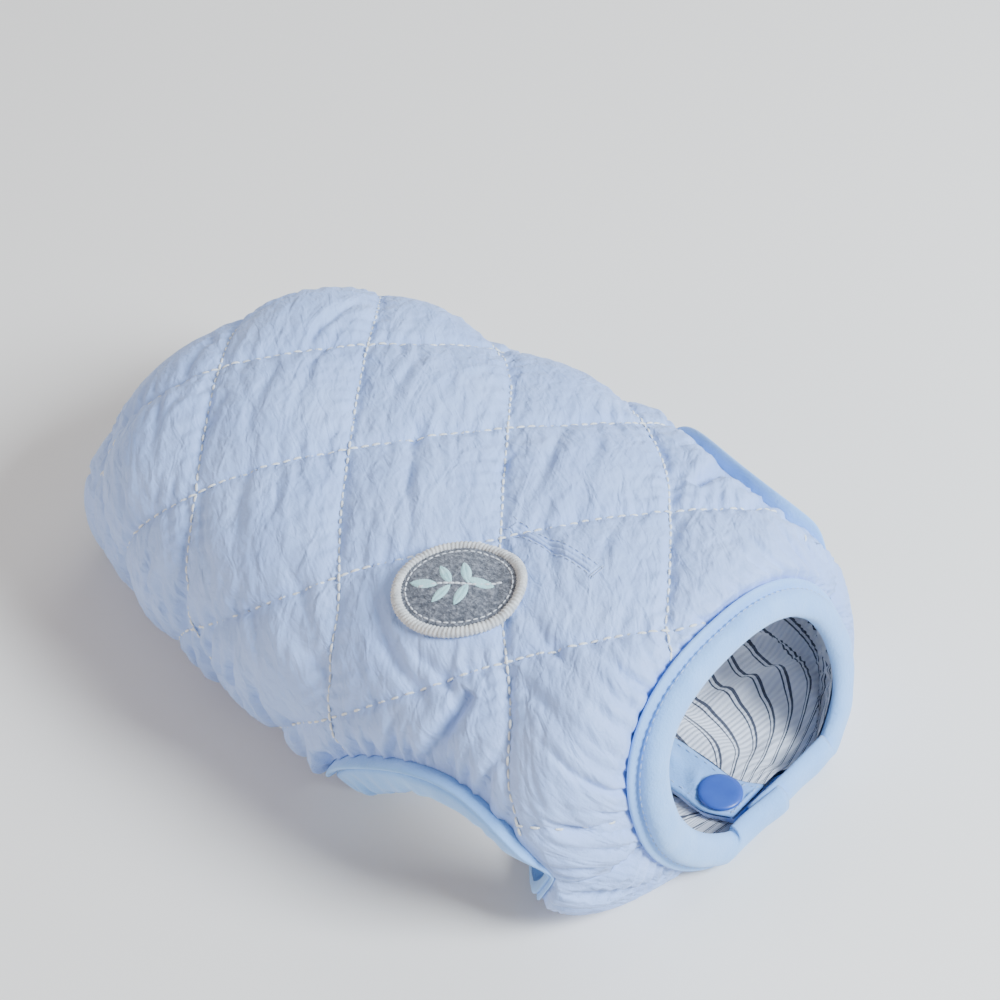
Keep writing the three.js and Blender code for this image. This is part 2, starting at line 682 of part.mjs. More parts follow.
// The armhole's loop runs back along the back panel and forward along the chest panel.
function armholeBinding(side) {
  const inside = (u) => u >= ARMHOLE.front - 0.01 && u <= ARMHOLE.rear + 0.01;
  const rows = backRows.filter(inside);
  const loop = [
    ...rows.map((u) => edgeCell(u, side * seamLine(u, 1, side))),
    ...rows.slice(1, -1).reverse().map((u) => edgeCell(u, side * seamLine(u, -1, side))),
  ];
  if (side < 0) loop.reverse();
  const { front, rear, frontW, rearW } = ARMHOLE;
  const ends = [formPoint(front, side * frontW), formPoint(rear, side * rearW)];
  const rings = edgeStations(loop, true).map((station) => {
    const fromEnd = Math.min(...ends.map((end) => end.distanceTo(station.point)));
    const share = ease(fromEnd / BAND_TAPER);
    const width = mix(NARROW_BAND, 1, share);
    const size = mix(SMALL_LIP, 1, share);
    return bindingRing(station, BAND_PROFILE, width, size, mix(END_CLEAR, EDGE_CLEAR, share));
  });
  return solidFromRings(rings, true);
}

// The hem's edge runs from the belly centre out along the right chest panel, back along the flank, round
// the tail and forward again on the left.
function hemBinding() {
  const chestHem = (side) => {
    const row = chestGrid(side, [LAP + LAP_BLEND / 2, LAP, 0]).at(-1);
    return row.map(({ u, w, toCentre }) => edgeCell(u, w, lapLift(side, toCentre)));
  };
  const flankRows = backRows.filter((u) => u > SIDE_SEAM_END + 2 && u < BACK_LENGTH);
  const flank = (side) => flankRows.map((u) => edgeCell(u, side * flankHem(u, side)));
  const tail = backGrid.at(-1).map(({ u, w }) => edgeCell(u, w));
  const right = [...chestHem(-1).slice(1), ...flank(-1)];
  const left = [...flank(1).reverse(), ...chestHem(1).slice(0, -1)];
  const edge = [...right, ...tail, ...left].reverse();
  const tailCorners = [tail[0].point, tail.at(-1).point];
  const seamEnds = [-1, 1].map((side) => formPoint(SIDE_SEAM_END, side * flankHem(SIDE_SEAM_END, side)));
  const nearness = (places, point, reach) => {
    return ease(1 - Math.min(...places.map((place) => place.distanceTo(point))) / reach);
  };
  const rings = edgeStations(edge, false).map((station) => {
    const atSeam = nearness(seamEnds, station.point, SEAM_END_REACH);
    const atTail = nearness(tailCorners, station.point, TAIL_REACH);
    const clear = Math.max(TAIL_CLEAR * atTail, SEAM_END_CLEAR * atSeam);
    return bindingRing(station, BAND_PROFILE, HEM_WIDTH_SHARE * (1 - NARROWED * atSeam), 1, clear);
  });
  return solidFromRings(rings, false);
}

// Point on the faceted outer face of the back panel, moved out
const shellGrid = pointsOf(backGrid, ({ u, w, edge }) => shellPoint(u, w, edge));
function onShell(u, w, out) {
  const row = backRows.findIndex((value) => value > u) - 1;
  const columns = backColumns(u);
  const col = columns.findIndex((value) => value > w) - 1;
  const down = (u - backRows[row]) / (backRows[row + 1] - backRows[row]);
  const across = (w - columns[col]) / (columns[col + 1] - columns[col]);
  const near = shellGrid[row][col].clone().lerp(shellGrid[row][col + 1], across);
  const far = shellGrid[row + 1][col].clone().lerp(shellGrid[row + 1][col + 1], across);
  return near.lerp(far, down).addScaledVector(formNormal(u, w), out);
}

// Patch: an oval field with a raised border, both laid over the puffs of the shell
const fieldShare = 1 - PATCH.border / PATCH.halfWide;
const PATCH_SPOKES = 28;
const PATCH_GAP = 0.8;
function patchPlace(share, turn, out) {
  const along = PATCH.halfLong * share * Math.cos(turn);
  const across = PATCH.halfWide * share * Math.sin(turn);
  const u = PATCH.u + along * Math.cos(PATCH.turn) - across * Math.sin(PATCH.turn);
  const w = PATCH.w + along * Math.sin(PATCH.turn) + across * Math.cos(PATCH.turn);
  return onShell(u, w, out);
}

function patchField() {
  const positions = [];
  const indices = [];
  const shares = [0.2, 0.45, 0.7, fieldShare];
  for (const out of [PATCH_GAP, PATCH_GAP + PATCH.thick]) {
    const middle = patchPlace(0, 0, out);
    positions.push(middle.x, middle.y, middle.z);
    for (const share of shares) {
      for (let spoke = 0; spoke < PATCH_SPOKES; spoke += 1) {
        const point = patchPlace(share, (2 * Math.PI * spoke) / PATCH_SPOKES, out);
        positions.push(point.x, point.y, point.z);
      }
    }
  }
  const layer = 1 + shares.length * PATCH_SPOKES;
  const at = (face, ring, spoke) => face * layer + 1 + ring * PATCH_SPOKES + (spoke % PATCH_SPOKES);
  const push = (face, a, b, c) => indices.push(...(face ? [a, b, c] : [a, c, b]));
  const rim = shares.length - 1;
  for (let spoke = 0; spoke < PATCH_SPOKES; spoke += 1) {
    for (const face of [0, 1]) {
      push(face, face * layer, at(face, 0, spoke), at(face, 0, spoke + 1));
      for (let ring = 0; ring < rim; ring += 1) {
        push(face, at(face, ring, spoke), at(face, ring + 1, spoke), at(face, ring + 1, spoke + 1));
        push(face, at(face, ring, spoke), at(face, ring + 1, spoke + 1), at(face, ring, spoke + 1));
      }
    }
    push(1, at(1, rim, spoke), at(0, rim, spoke), at(0, rim, spoke + 1));
    push(1, at(1, rim, spoke), at(0, rim, spoke + 1), at(1, rim, spoke + 1));
  }
  const geometry = new THREE.BufferGeometry();
  geometry.setAttribute("position", new THREE.Float32BufferAttribute(positions, 3));
  geometry.setIndex(indices);
  return facingOut(geometry);
}

function patchBorder() {
  const inner = fieldShare + (SEAM_GAP * 1.5) / PATCH.halfWide;
  const outer = 1;
  const middle = (inner + outer) / 2;
  const rings = [];
  for (let spoke = 0; spoke < 2 * PATCH_SPOKES; spoke += 1) {
    const turn = (Math.PI * spoke) / PATCH_SPOKES;
    rings.push([
      patchPlace(inner, turn, PATCH_GAP),
      patchPlace(inner, turn, PATCH_GAP + PATCH.thick),
      patchPlace(middle, turn, PATCH_GAP + PATCH.thick + 0.8),
      patchPlace(outer, turn, PATCH_GAP + PATCH.thick),
      patchPlace(outer, turn, PATCH_GAP),
    ]);
  }
  return solidFromRings(rings, true);
}

// Leash slit: a narrow stitched welt on the centre back
function leashSlit() {
  const steps = 10;
  const rings = [];
  for (let step = 0; step <= steps; step += 1) {
    const u = mix(SLIT.from, SLIT.to, step / steps);
    const half = SLIT.width / 2;
    rings.push([
      onShell(u, SLIT.w - half, 2 * SEAM_GAP),
      onShell(u, SLIT.w - half / 2, 2 * SEAM_GAP + SLIT.height),
      onShell(u, SLIT.w + half / 2, 2 * SEAM_GAP + SLIT.height),
      onShell(u, SLIT.w + half, 2 * SEAM_GAP),
    ]);
  }
  return solidFromRings(rings, false);
}

// Materials, one for each cloth or finish
const cloth = (color, roughness) => new THREE.MeshStandardMaterial({ color, roughness, metalness: 0 });
const SHELL_BLUE = 0xb9c9e6;
const BINDING_BLUE = 0xb4cdec;
const LINING_WHITE = 0xdcdde6;
const SNAP_BLUE = 0x6b86c4;
const PATCH_GREY = 0x6a6c74;
const PATCH_EDGE = 0xd5d2cf;

const coat = new THREE.Group();
function addPiece(name, geometry, color, roughness) {
  const mesh = new THREE.Mesh(geometry, cloth(color, roughness));
  mesh.name = name;
  coat.add(mesh);
}

addPiece("back_panel", backPanel(), SHELL_BLUE, 0.6);
addPiece("back_lining", backLining(), LINING_WHITE, 0.9);
for (const [sideName, side] of [["right", -1], ["left", 1]]) {
  addPiece(`chest_panel_${sideName}`, chestPanel(side), SHELL_BLUE, 0.6);
  addPiece(`chest_lining_${sideName}`, chestLining(side), LINING_WHITE, 0.9);
  addPiece(`placket_tape_${sideName}`, placketTape(side), BINDING_BLUE, 0.85);
  addPiece(`armhole_binding_${sideName}`, armholeBinding(side), BINDING_BLUE, 0.85);
}
addPiece("neck_binding", neckBinding(), BINDING_BLUE, 0.85);
addPiece("hem_binding", hemBinding(), BINDING_BLUE, 0.85);
SNAP_U.forEach((u, k) => {
  addPiece(`snap_cap_inner_${k + 1}`, snapCap(u, true), SNAP_BLUE, 0.35);
  addPiece(`snap_cap_outer_${k + 1}`, snapCap(u, false), SNAP_BLUE, 0.35);
});
addPiece("patch_field", patchField(), PATCH_GREY, 0.95);
addPiece("patch_border", patchBorder(), PATCH_EDGE, 0.8);
addPiece("leash_slit", leashSlit(), SHELL_BLUE, 0.6);

export default coat;
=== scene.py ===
# %% [markdown]
# # A quilted winter coat for a small dog
# The coat lies on its belly, filled out, with its neck towards +X and its patch on the -Y side. It is a
# shell of thin crinkled cloth over wadding, sewn in diamonds, with a striped lining, soft jersey bindings
# and a belly closure with plastic snaps. Everything here is worked out from one smooth hollow form, so
# that shell, lining, stitches and bindings always agree with each other and with the CAD model.

# %% The frame and the numbers that the whole coat shares
import json
import math

import bpy
import numpy as np
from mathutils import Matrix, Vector

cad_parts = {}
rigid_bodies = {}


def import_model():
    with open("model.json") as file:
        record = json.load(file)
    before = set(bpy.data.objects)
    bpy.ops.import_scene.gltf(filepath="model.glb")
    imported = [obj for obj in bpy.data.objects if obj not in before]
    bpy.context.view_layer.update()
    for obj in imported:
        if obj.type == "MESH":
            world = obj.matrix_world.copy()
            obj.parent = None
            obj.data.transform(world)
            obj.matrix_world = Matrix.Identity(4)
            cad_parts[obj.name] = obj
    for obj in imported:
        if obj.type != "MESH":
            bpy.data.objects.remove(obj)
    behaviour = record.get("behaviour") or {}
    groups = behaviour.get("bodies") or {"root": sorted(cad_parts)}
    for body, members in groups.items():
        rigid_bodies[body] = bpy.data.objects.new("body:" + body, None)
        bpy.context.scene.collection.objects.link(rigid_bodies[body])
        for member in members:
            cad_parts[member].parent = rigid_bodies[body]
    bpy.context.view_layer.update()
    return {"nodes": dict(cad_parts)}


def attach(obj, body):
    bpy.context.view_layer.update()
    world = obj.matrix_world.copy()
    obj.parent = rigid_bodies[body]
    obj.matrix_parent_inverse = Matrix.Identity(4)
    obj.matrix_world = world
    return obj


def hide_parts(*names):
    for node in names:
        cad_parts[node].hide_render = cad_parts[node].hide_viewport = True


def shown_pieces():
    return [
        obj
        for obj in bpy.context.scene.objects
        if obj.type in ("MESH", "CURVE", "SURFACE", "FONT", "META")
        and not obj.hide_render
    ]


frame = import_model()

MM = 0.001
chance = np.random.default_rng(4)
print("CAD nodes:", len(frame["nodes"]))

# %% [markdown]
# ## The form
# A garment without a wearer still has a body shape: here it is a row of upright sections from the neck
# seam to the tail, each a soft square that is flat where it meets the floor. The table holds their sizes
# in millimetres, as the CAD model does, and a smooth curve runs through every column. The other way would
# be to sculpt the shape, but then the quilting couldn't be laid over it by measure.

# %% Sections of the form, from the neck seam to the tail
SECTION_COLUMNS = ("foot", "tilt", "rise", "half_width", "lean", "centre", "belly")
SECTION_ROWS = [
    (110, 11, 72, 41.5, 0.22, -1, 2),
    (102, 9, 74.5, 57.5, 0.21, -6, 3.1),
    (91, 6, 75, 65.5, 0.2, -5, 3.4),
    (67, 2, 74, 69.5, 0.17, -3, 3),
    (32, 0, 73, 71.5, 0.13, -2.5, 3),
    (-4, 0, 72.5, 69.5, 0.1, -3, 3),
    (-32, 0, 72.5, 65.5, 0.08, -3, 3),
    (-48, 8, 72, 62.5, 0.06, -2, 3),
    (-54, 20, 71, 60, 0.05, -0.5, 3),
    (-61, 33, 63, 56.5, 0.04, 1, 3),
    (-71, 47, 47.5, 51.5, 0.02, 2, 3),
    (-83, 59, 25.5, 45, 0, 2.5, 3),
]
SECTIONS = {name: np.array([row[k] for row in SECTION_ROWS], float) for k, name in enumerate(SECTION_COLUMNS)}
MIDDLE_X, MIDDLE_Y = 2.76, -3.65
TOP_FULLNESS, WAIST_SHARE, BELLY_DROP = 2.4, 0.46, 1.12
WALL, FLOOR_PUFF = 1.6, 0.3
FORM_FLOOR = WALL + FLOOR_PUFF
CLOTH_ROLL = 6


def column(name, station):
    values = SECTIONS[name]
    last = len(values) - 1
    row = int(min(last - 1, max(0, math.floor(station))))
    share = station - row
    before, start = values[max(0, row - 1)], values[row]
    end, after = values[row + 1], values[min(last, row + 2)]
    slope_in, slope_out = (end - before) / 2, (after - start) / 2
    square, cube = share**2, share**3
    return (
        start * (2 * cube - 3 * square + 1)
        + slope_in * (cube - 2 * square + share)
        + end * (3 * square - 2 * cube)
        + slope_out * (cube - square)
    )


def section(station, steps=360):
    """Points round one section from the belly up the right side, and their distance from the top."""
    tilt = math.radians(column("tilt", station))
    rise = column("rise", station)
    waist = rise * WAIST_SHARE
    angle = np.linspace(-math.pi, math.pi, steps + 1)
    up, across = np.cos(angle), np.sin(angle)
    power = 2 / np.where(up >= 0, TOP_FULLNESS, column("belly", station))
    reach = np.where(up >= 0, rise - waist, waist * BELLY_DROP)
    lift = reach * np.sign(up) * np.abs(up) ** power
    side = column("centre", station) - MIDDLE_Y + column("half_width", station) * np.sign(across) * np.abs(
        across
    ) ** power
    side = side - column("lean", station) * lift
    z = np.maximum((waist + lift) * math.cos(tilt), FORM_FLOOR)
    points = np.stack([column("foot", station) - MIDDLE_X - z * math.tan(tilt), side, z], axis=1)
    arcs = np.concatenate([[0], np.cumsum(np.linalg.norm(np.diff(points, axis=0), axis=1))])
    return points, arcs - arcs[steps // 2]


stations = np.linspace(0, len(SECTION_ROWS) - 1, (len(SECTION_ROWS) - 1) * 40 + 1)
tops = np.array([section(station, 240)[0][120] for station in stations])
station_u = np.concatenate([[0], np.cumsum(np.linalg.norm(np.diff(tops, axis=0), axis=1))])
BACK_LENGTH = float(station_u[-1])
print("length of the back from the neck seam to the tail:", round(BACK_LENGTH, 1), "mm")

# %% [markdown]
# ## Cloth coordinates
# A tailor thinks in distances on the cloth: **u** is how far behind the neck seam, **w** how far from the
# centre back, negative on the wearer's right. A dense map of the form is made once, with a normal at every
# point, and all the other cells look points up in it.

# %% The map from cloth coordinates to points and normals
GRID = 0.75
W_REACH = 216
grid_u = np.arange(0, BACK_LENGTH + GRID, GRID)
grid_w = np.arange(-W_REACH, W_REACH + GRID, GRID)
form_points = np.zeros((len(grid_u), len(grid_w), 3))
half_girth = np.zeros(len(grid_u))
corner = {1: np.zeros(len(grid_u)), -1: np.zeros(len(grid_u))}
for row, u in enumerate(grid_u):
    points, arcs = section(float(np.interp(u, station_u, stations)))
    girth = arcs[-1] - arcs[0]
    arc = grid_w - CLOTH_ROLL
    arc = np.where(arc > arcs[-1], arc - girth, np.where(arc < arcs[0], arc + girth, arc))
    for axis in range(3):
        form_points[row, :, axis] = np.interp(arc, arcs, points[:, axis])
    half_girth[row] = girth / 2
    on_wall = np.nonzero(points[:, 2] > FORM_FLOOR + 0.05)[0]
    corner[-1][row] = -arcs[on_wall[0]] - CLOTH_ROLL
    corner[1][row] = arcs[on_wall[-1]] + CLOTH_ROLL


def smoothed(values, reach=9):
    padded_values = np.pad(values, reach, mode="edge")
    weights = np.hanning(2 * reach + 1)
    return np.convolve(padded_values, weights / weights.sum(), mode="valid")


def unit(vectors):
    return vectors / np.maximum(np.linalg.norm(vectors, axis=-1, keepdims=True), 1e-9)


corner = {side: smoothed(values) for side, values in corner.items()}
along = np.zeros_like(form_points)
across = np.zeros_like(form_points)
along[2:-2] = form_points[4:] - form_points[:-4]
along[:2], along[-2:] = along[2], along[-3]
across[:, 2:-2] = form_points[:, 4:] - form_points[:, :-4]
across[:, :2], across[:, -2:] = across[:, 2:3], across[:, -3:-2]
form_normals = unit(np.cross(across, along))
neck_tilt = math.radians(SECTION_ROWS[0][1])
NECK_AXIS = np.array([math.cos(neck_tilt), 0, math.sin(neck_tilt)])
turning = np.clip(1 - grid_u / 5, 0, 1)[:, None, None]
form_normals = unit(form_normals - turning * (form_normals @ NECK_AXIS)[..., None] * NECK_AXIS)


def look_up(table, u, w):
    """Value of a table over the cloth at any cloth coordinates, between its four nearest entries."""
    a = np.clip(np.asarray(u, float) / GRID, 0, len(grid_u) - 1.001)
    b = np.clip((np.asarray(w, float) + W_REACH) / GRID, 0, len(grid_w) - 1.001)
    a, b = np.broadcast_arrays(a, b)
    i, j = a.astype(int), b.astype(int)
    s, t = (a - i)[..., None], (b - j)[..., None]
    near = table[i, j] * (1 - t) + table[i, j + 1] * t
    far = table[i + 1, j] * (1 - t) + table[i + 1, j + 1] * t
    return near * (1 - s) + far * s


def on_form(u, w, out=0.0, lift=0.0):
    """Point at a distance out of the form, never under the floor, raised by a lift."""
    points = look_up(form_points, u, w)
    points = points + unit(look_up(form_normals, u, w)) * np.asarray(out, float)[..., None]
    points[..., 2] = np.maximum(points[..., 2], 0) + lift
    return points


print("map of the form:", form_points.shape)

# %% [markdown]
# ## Outlines of the pieces
# The shell is cut in three: a back, which curls under the flanks, and two chest panels, which lap under
# the belly. Each armhole is left between them as an oval, small because the wearer is small.

# %% Edges of the panels in cloth coordinates
SEAM_GAP = 0.3
ARMHOLE = {"front": 11, "rear": 81, "front_w": 80, "rear_w": 109, "rise": 25, "drop": 38, "dip": 16}
CHEST_SEAM_START = 61
SIDE_SEAM_END = 119
BELLY_TURN = 13
FLANK_TUCK, TAIL_TUCK_START = 5, 150
FLANK_CURVE_WIDTH, FLANK_CURVE_LENGTH = 9, 12
LAP, LAP_BLEND = 9, 12
UNDER_LIFT, OVER_LIFT = 1.5, 5.9
HEM_CURVE, HEM_LENGTH = 10, 9


def ease(value):
    value = np.clip(value, 0, 1)
    return value**2 * (3 - 2 * value)


def mix(start, end, share):
    return start + (end - start) * share


def belly_centre(u, side):
    return np.interp(u, grid_u, half_girth) + side * BELLY_TURN


def flank_hem(u, side):
    tuck = FLANK_TUCK * (1 - ease((u - TAIL_TUCK_START) / (BACK_LENGTH - TAIL_TUCK_START)))
    curve = FLANK_CURVE_WIDTH * np.exp(np.minimum(0, SIDE_SEAM_END - u) / FLANK_CURVE_LENGTH)
    return np.interp(u, grid_u, corner[side]) + tuck + curve


def seam_line(u, face, side):
    """Where back and chest meet. At the armhole face 1 is the back's edge and face -1 the chest's."""
    front, rear = ARMHOLE["front"], ARMHOLE["rear"]
    ahead = mix(CHEST_SEAM_START, ARMHOLE["front_w"], np.sin(np.pi / 2 * np.clip(u / front, 0, 1)))
    half = (rear - front) / 2
    bulge = np.sqrt(np.maximum(0, 1 - ((u - (front + rear) / 2) / half) ** 2))
    pointed = np.where(u < (front + rear) / 2, bulge**1.5, bulge)
    away = -ARMHOLE["rise"] * bulge if face > 0 else ARMHOLE["drop"] * pointed + ARMHOLE["dip"] * bulge**3
    beside = mix(ARMHOLE["front_w"], ARMHOLE["rear_w"], (u - front) / (rear - front)) + away
    end = flank_hem(np.array(SIDE_SEAM_END), side)
    behind = mix(ARMHOLE["rear_w"], end, (u - rear) / (SIDE_SEAM_END - rear))
    return np.where(u < front, ahead, np.where(u < rear, beside, behind))


def back_edge(u, side):
    return np.where(u < SIDE_SEAM_END, seam_line(u, 1, side), flank_hem(u, side)) - SEAM_GAP / 2


def chest_edge(u, side):
    return seam_line(u, -1, side) + SEAM_GAP / 2


def lap_lift(side, to_centre):
    return (OVER_LIFT if side > 0 else UNDER_LIFT) * ease(1 - (to_centre - LAP) / LAP_BLEND)


print("width of the back at the tail hem:", round(float(2 * back_edge(np.array(240.0), 1))), "mm")

# %% [markdown]
# ## Quilting
# Two families of sewn lines cross in diamonds, and the wadding swells between them. The swell is highest
# in the middle of a diamond and drops steeply at the thread, so the height is a product of two sines with
# a power below one. Each thread also pulls the cloth into a narrow groove, with a dimple at every stitch.

# %% Height of the shell: puffs, grooves and dimples
DIAMOND_LONG, DIAMOND_WIDE = 54, 70
CROSSING_U, CROSSING_W = 9, -7
PUFF, PUFF_ROUNDNESS = 3.6, 0.6
EDGE_FLATTEN, FLOOR_FLATTEN = 4.5, 14
NECK_SWAY, NECK_SWAY_LENGTH = 8.5, 80
NEAR_SWAY = 5
FLANK_BEND = 18
GROOVE_DEPTH, GROOVE_WIDTH = 0.8, 1.4
PUCKER_HEIGHT, PUCKER_REACH = 0.42, 6.5
STITCH_PITCH = 3.1
LINE_SPACING = 1 / math.hypot(1 / DIAMOND_LONG, 1 / DIAMOND_WIDE)


def sway(u, w):
    """How far the gathers of the neck and the right side pull the quilting towards the wearer's left."""
    at_neck = NECK_SWAY * ease(1 - u / NECK_SWAY_LENGTH)
    return at_neck + NEAR_SWAY * ease((-w - 15) / 30) * ease((120 - u) / 60)


def bend(w):
    """How far the lines trail towards the tail as they come down the flanks."""
    return FLANK_BEND * ease((np.abs(w) - 40) / 60)


def lattice(u, w):
    """The two line numbers at a point; a sewn line lies where one of them is whole."""
    lengthwise = (u - bend(w) - CROSSING_U) / DIAMOND_LONG
    crosswise = (w - sway(u, w) - CROSSING_W) / DIAMOND_WIDE
    return lengthwise + crosswise, lengthwise - crosswise


def puff_height(u, w, to_edge, height):
    first, second = lattice(u, w)
    pillow = np.abs(np.sin(np.pi * first) * np.sin(np.pi * second)) ** PUFF_ROUNDNESS
    off_floor = ease((height - FORM_FLOOR) / FLOOR_FLATTEN)
    puff = PUFF * pillow * ease(to_edge / EDGE_FLATTEN) * off_floor
    under = (1 - off_floor) * (FLOOR_PUFF - 0.9 * (1 - pillow))
    groove, pucker = np.zeros_like(puff), np.zeros_like(puff)
    for number, other in ((first, second), (second, first)):
        line = np.round(number)
        away = np.abs(number - line) * LINE_SPACING
        run = other * LINE_SPACING * 1.18
        dimple = 0.75 + 0.25 * np.cos(2 * np.pi * run / STITCH_PITCH)
        groove = np.maximum(groove, np.exp(-((away / GROOVE_WIDTH) ** 2)) * dimple)
        uneven = np.sin(0.21 * run + 2.3 * line) + np.sin(0.083 * run + 1.1 * line)
        wave = np.cos(2 * np.pi * run / 6.6 + 1.6 * uneven + 0.25 * away)
        strength = (0.5 + 0.25 * np.sin(0.13 * run + 3 * line)) * ease(away / 1.6) * np.exp(-away / PUCKER_REACH)
        pucker = pucker + strength * wave
    flat = ease(to_edge / 3)
    return puff + under - GROOVE_DEPTH * groove * flat + 2 * PUCKER_HEIGHT * pucker * flat * off_floor


sample = puff_height(np.array([36.0, 9.0]), np.array([-7.0, -7.0]), 50.0, 60.0)
print("height in the middle of a diamond and at a crossing:", sample.round(2), "mm")

# %% [markdown]
# ## Creases
# Thin cloth over wadding never lies smooth: short soft creases run into each puff from the lines around
# it, because the thread gathers the cloth a little. A simulation would give creases anywhere, so the main
# ones are listed strokes, each with a place, a direction, a length, a bend, a width and a depth.
# The puffs on the hidden sides get similar strokes, drawn with a fixed seed.

# %% Strokes on the puffs
STROKE_COLUMNS = ("u", "w", "turn", "length", "bend", "width", "depth")
VISIBLE_STROKES = [
    (150, -8, 62, 34, 4, 2.6, -0.9),
    (143, 2, 58, 26, -3, 2.2, -0.7),
    (157, -20, 70, 20, 3, 2.0, -0.6),
    (128, -38, 50, 36, 5, 2.8, -1.0),
    (121, -30, 55, 24, -4, 2.2, -0.7),
    (136, -47, 40, 24, 3, 2.2, -0.8),
    (124, 22, 66, 34, 5, 2.6, -0.9),
    (114, 30, 60, 22, -3, 2.0, -0.6),
    (98, -2, 56, 36, -5, 2.8, -1.0),
    (90, -12, 48, 26, 4, 2.2, -0.8),
    (106, 8, 72, 22, 3, 2.0, -0.6),
    (72, 24, 64, 34, 5, 2.6, -1.0),
    (64, 34, 52, 24, -4, 2.2, -0.8),
    (80, 14, 74, 20, 3, 2.0, -0.7),
    (92, -52, 34, 34, 4, 2.8, -1.1),
    (101, -62, 26, 26, -3, 2.4, -0.9),
    (84, -60, 20, 30, 4, 2.6, -1.0),
    (46, -4, 40, 26, -4, 2.2, -0.8),
    (38, 8, 60, 22, 3, 2.0, -0.7),
    (40, 40, 58, 30, 5, 2.4, -0.9),
    (30, 30, 66, 22, -3, 2.0, -0.7),
    (60, -50, 16, 34, 5, 2.8, -1.2),
    (50, -46, 8, 28, -4, 2.4, -1.0),
    (70, -44, 30, 26, 4, 2.4, -0.9),
    (28, -24, 10, 30, 4, 2.4, -1.0),
    (20, -36, 4, 26, -3, 2.2, -0.9),
    (160, 30, 78, 28, 4, 2.4, -0.8),
    (172, -30, 48, 30, -4, 2.4, -0.9),
    (182, -8, 66, 30, 4, 2.6, -0.9),
    (190, 18, 80, 26, -3, 2.2, -0.8),
    (176, -58, 30, 28, 4, 2.4, -1.0),
    (150, -72, 18, 32, -4, 2.6, -1.1),
    (118, -86, 8, 32, 4, 2.8, -1.2),
    (205, -30, 50, 26, 4, 2.4, -0.9),
]
FLANK_STROKES = [
    (84, -97, 80, 22, 3, 2.0, -1.7),
    (89, -93, 84, 28, -3, 2.4, -2.1),
    (94, -90, 78, 20, 2, 1.8, -1.5),
    (99, -86, 88, 30, 3, 2.4, -2.2),
    (104, -86, 82, 20, -2, 1.8, -1.5),
    (109, -82, 92, 28, 3, 2.2, -2.0),
    (114, -80, 86, 20, 2, 1.8, -1.5),
    (120, -77, 96, 28, -3, 2.4, -2.0),
    (127, -76, 88, 20, 2, 1.8, -1.4),
    (134, -72, 98, 26, 3, 2.2, -1.8),
    (142, -74, 92, 18, -2, 1.8, -1.2),
    (150, -68, 100, 24, 3, 2.2, -1.4),
]


def drawn_strokes(count, spread_u, spread_w):
    """More strokes of the same kind for the sides that the photograph doesn't show."""
    strokes = []
    for _ in range(count):
        strokes.append(
            (
                chance.uniform(*spread_u),
                chance.uniform(*spread_w),
                chance.uniform(30, 78) * np.sign(chance.uniform(-0.12, 1)),
                chance.uniform(14, 40),
                chance.uniform(-3, 3),
                chance.uniform(1.2, 2.4),
                -chance.uniform(0.35, 0.95),
            )
        )
    return strokes


HIDDEN_STROKES = drawn_strokes(46, (10, 236), (48, 150)) + drawn_strokes(24, (150, 238), (-120, 40))
SMALL_STROKES = [
    (u, w, turn, length * 0.55, bend, width * 0.65, depth * 0.4)
    for u, w, turn, length, bend, width, depth in drawn_strokes(420, (8, 238), (-135, 135))
]
ALL_STROKES = VISIBLE_STROKES + FLANK_STROKES + HIDDEN_STROKES + SMALL_STROKES


STROKE_STRENGTH, STROKE_NARROW, STROKE_STRAIGHT = 1.25, 0.7, 0.4
STROKE_LONG = 1.25


def stroke_height(u, w, strokes):
    total = np.zeros(np.broadcast(u, w).shape)
    for centre_u, centre_w, turn, length, bend, width, depth in strokes:
        near = (np.abs(u - centre_u) < length) & (np.abs(w - centre_w) < length)
        if not near.any():
            continue
        du, dw = u[near] - centre_u, w[near] - centre_w
        c, s = math.cos(math.radians(turn)), math.sin(math.radians(turn))
        run = (du * c + dw * s) / (STROKE_LONG * length / 2)
        side = (-du * s + dw * c - STROKE_STRAIGHT * bend * run**2) / STROKE_NARROW
        fade = np.clip(1 - run**2, 0, 1) ** 2
        trough = np.exp(-((side / width) ** 2))
        shoulder = 0.3 * np.exp(-(((side - 2.2 * width) / (1.6 * width)) ** 2))
        total[near] += STROKE_STRENGTH * depth * fade * (trough - shoulder)
    return total


print("strokes:", len(ALL_STROKES))

# %% [markdown]
# ## Gathers
# The bindings are a little shorter than the edges they are sewn to, so the shell gathers there: short
# radial tucks behind the neck, deep ones above each armhole and soft ones where the back curls under the
# flanks. The big ones are placed as the photograph shows them, and the rest are spaced unevenly.

# %% Gathers at the neck, the armholes and the flanks
ARMHOLE_TROUGHS = [
    # u at the lip, lean of the fold away from the edge, reach, width, depth
    (18, -0.15, 15, 2.0, 1.3),
    (25, -0.1, 22, 2.4, 2.1),
    (30, 0.05, 15, 1.9, 1.5),
    (34.5, 0.1, 18, 2.2, 1.7),
    (40.5, -0.1, 36, 4.0, 4.2),
    (46.5, 0.2, 15, 2.0, 1.6),
    (51.5, 0.1, 19, 2.6, 2.2),
    (57.5, 0.25, 14, 2.2, 1.8),
    (63, 0.2, 18, 2.4, 1.6),
    (69, 0.3, 13, 2.0, 1.4),
    (75, 0.35, 17, 2.4, 1.6),
    (80, 0.4, 14, 2.2, 1.2),
]
neck_gathers = []
gather_w = -112.0
while gather_w < 140:
    neck_gathers.append((gather_w, chance.uniform(8, 26), chance.uniform(0.8, 1.6), chance.uniform(1.4, 3.0)))
    gather_w += chance.uniform(3.4, 7.5)
flank_gathers = []
gather_u = 86.0
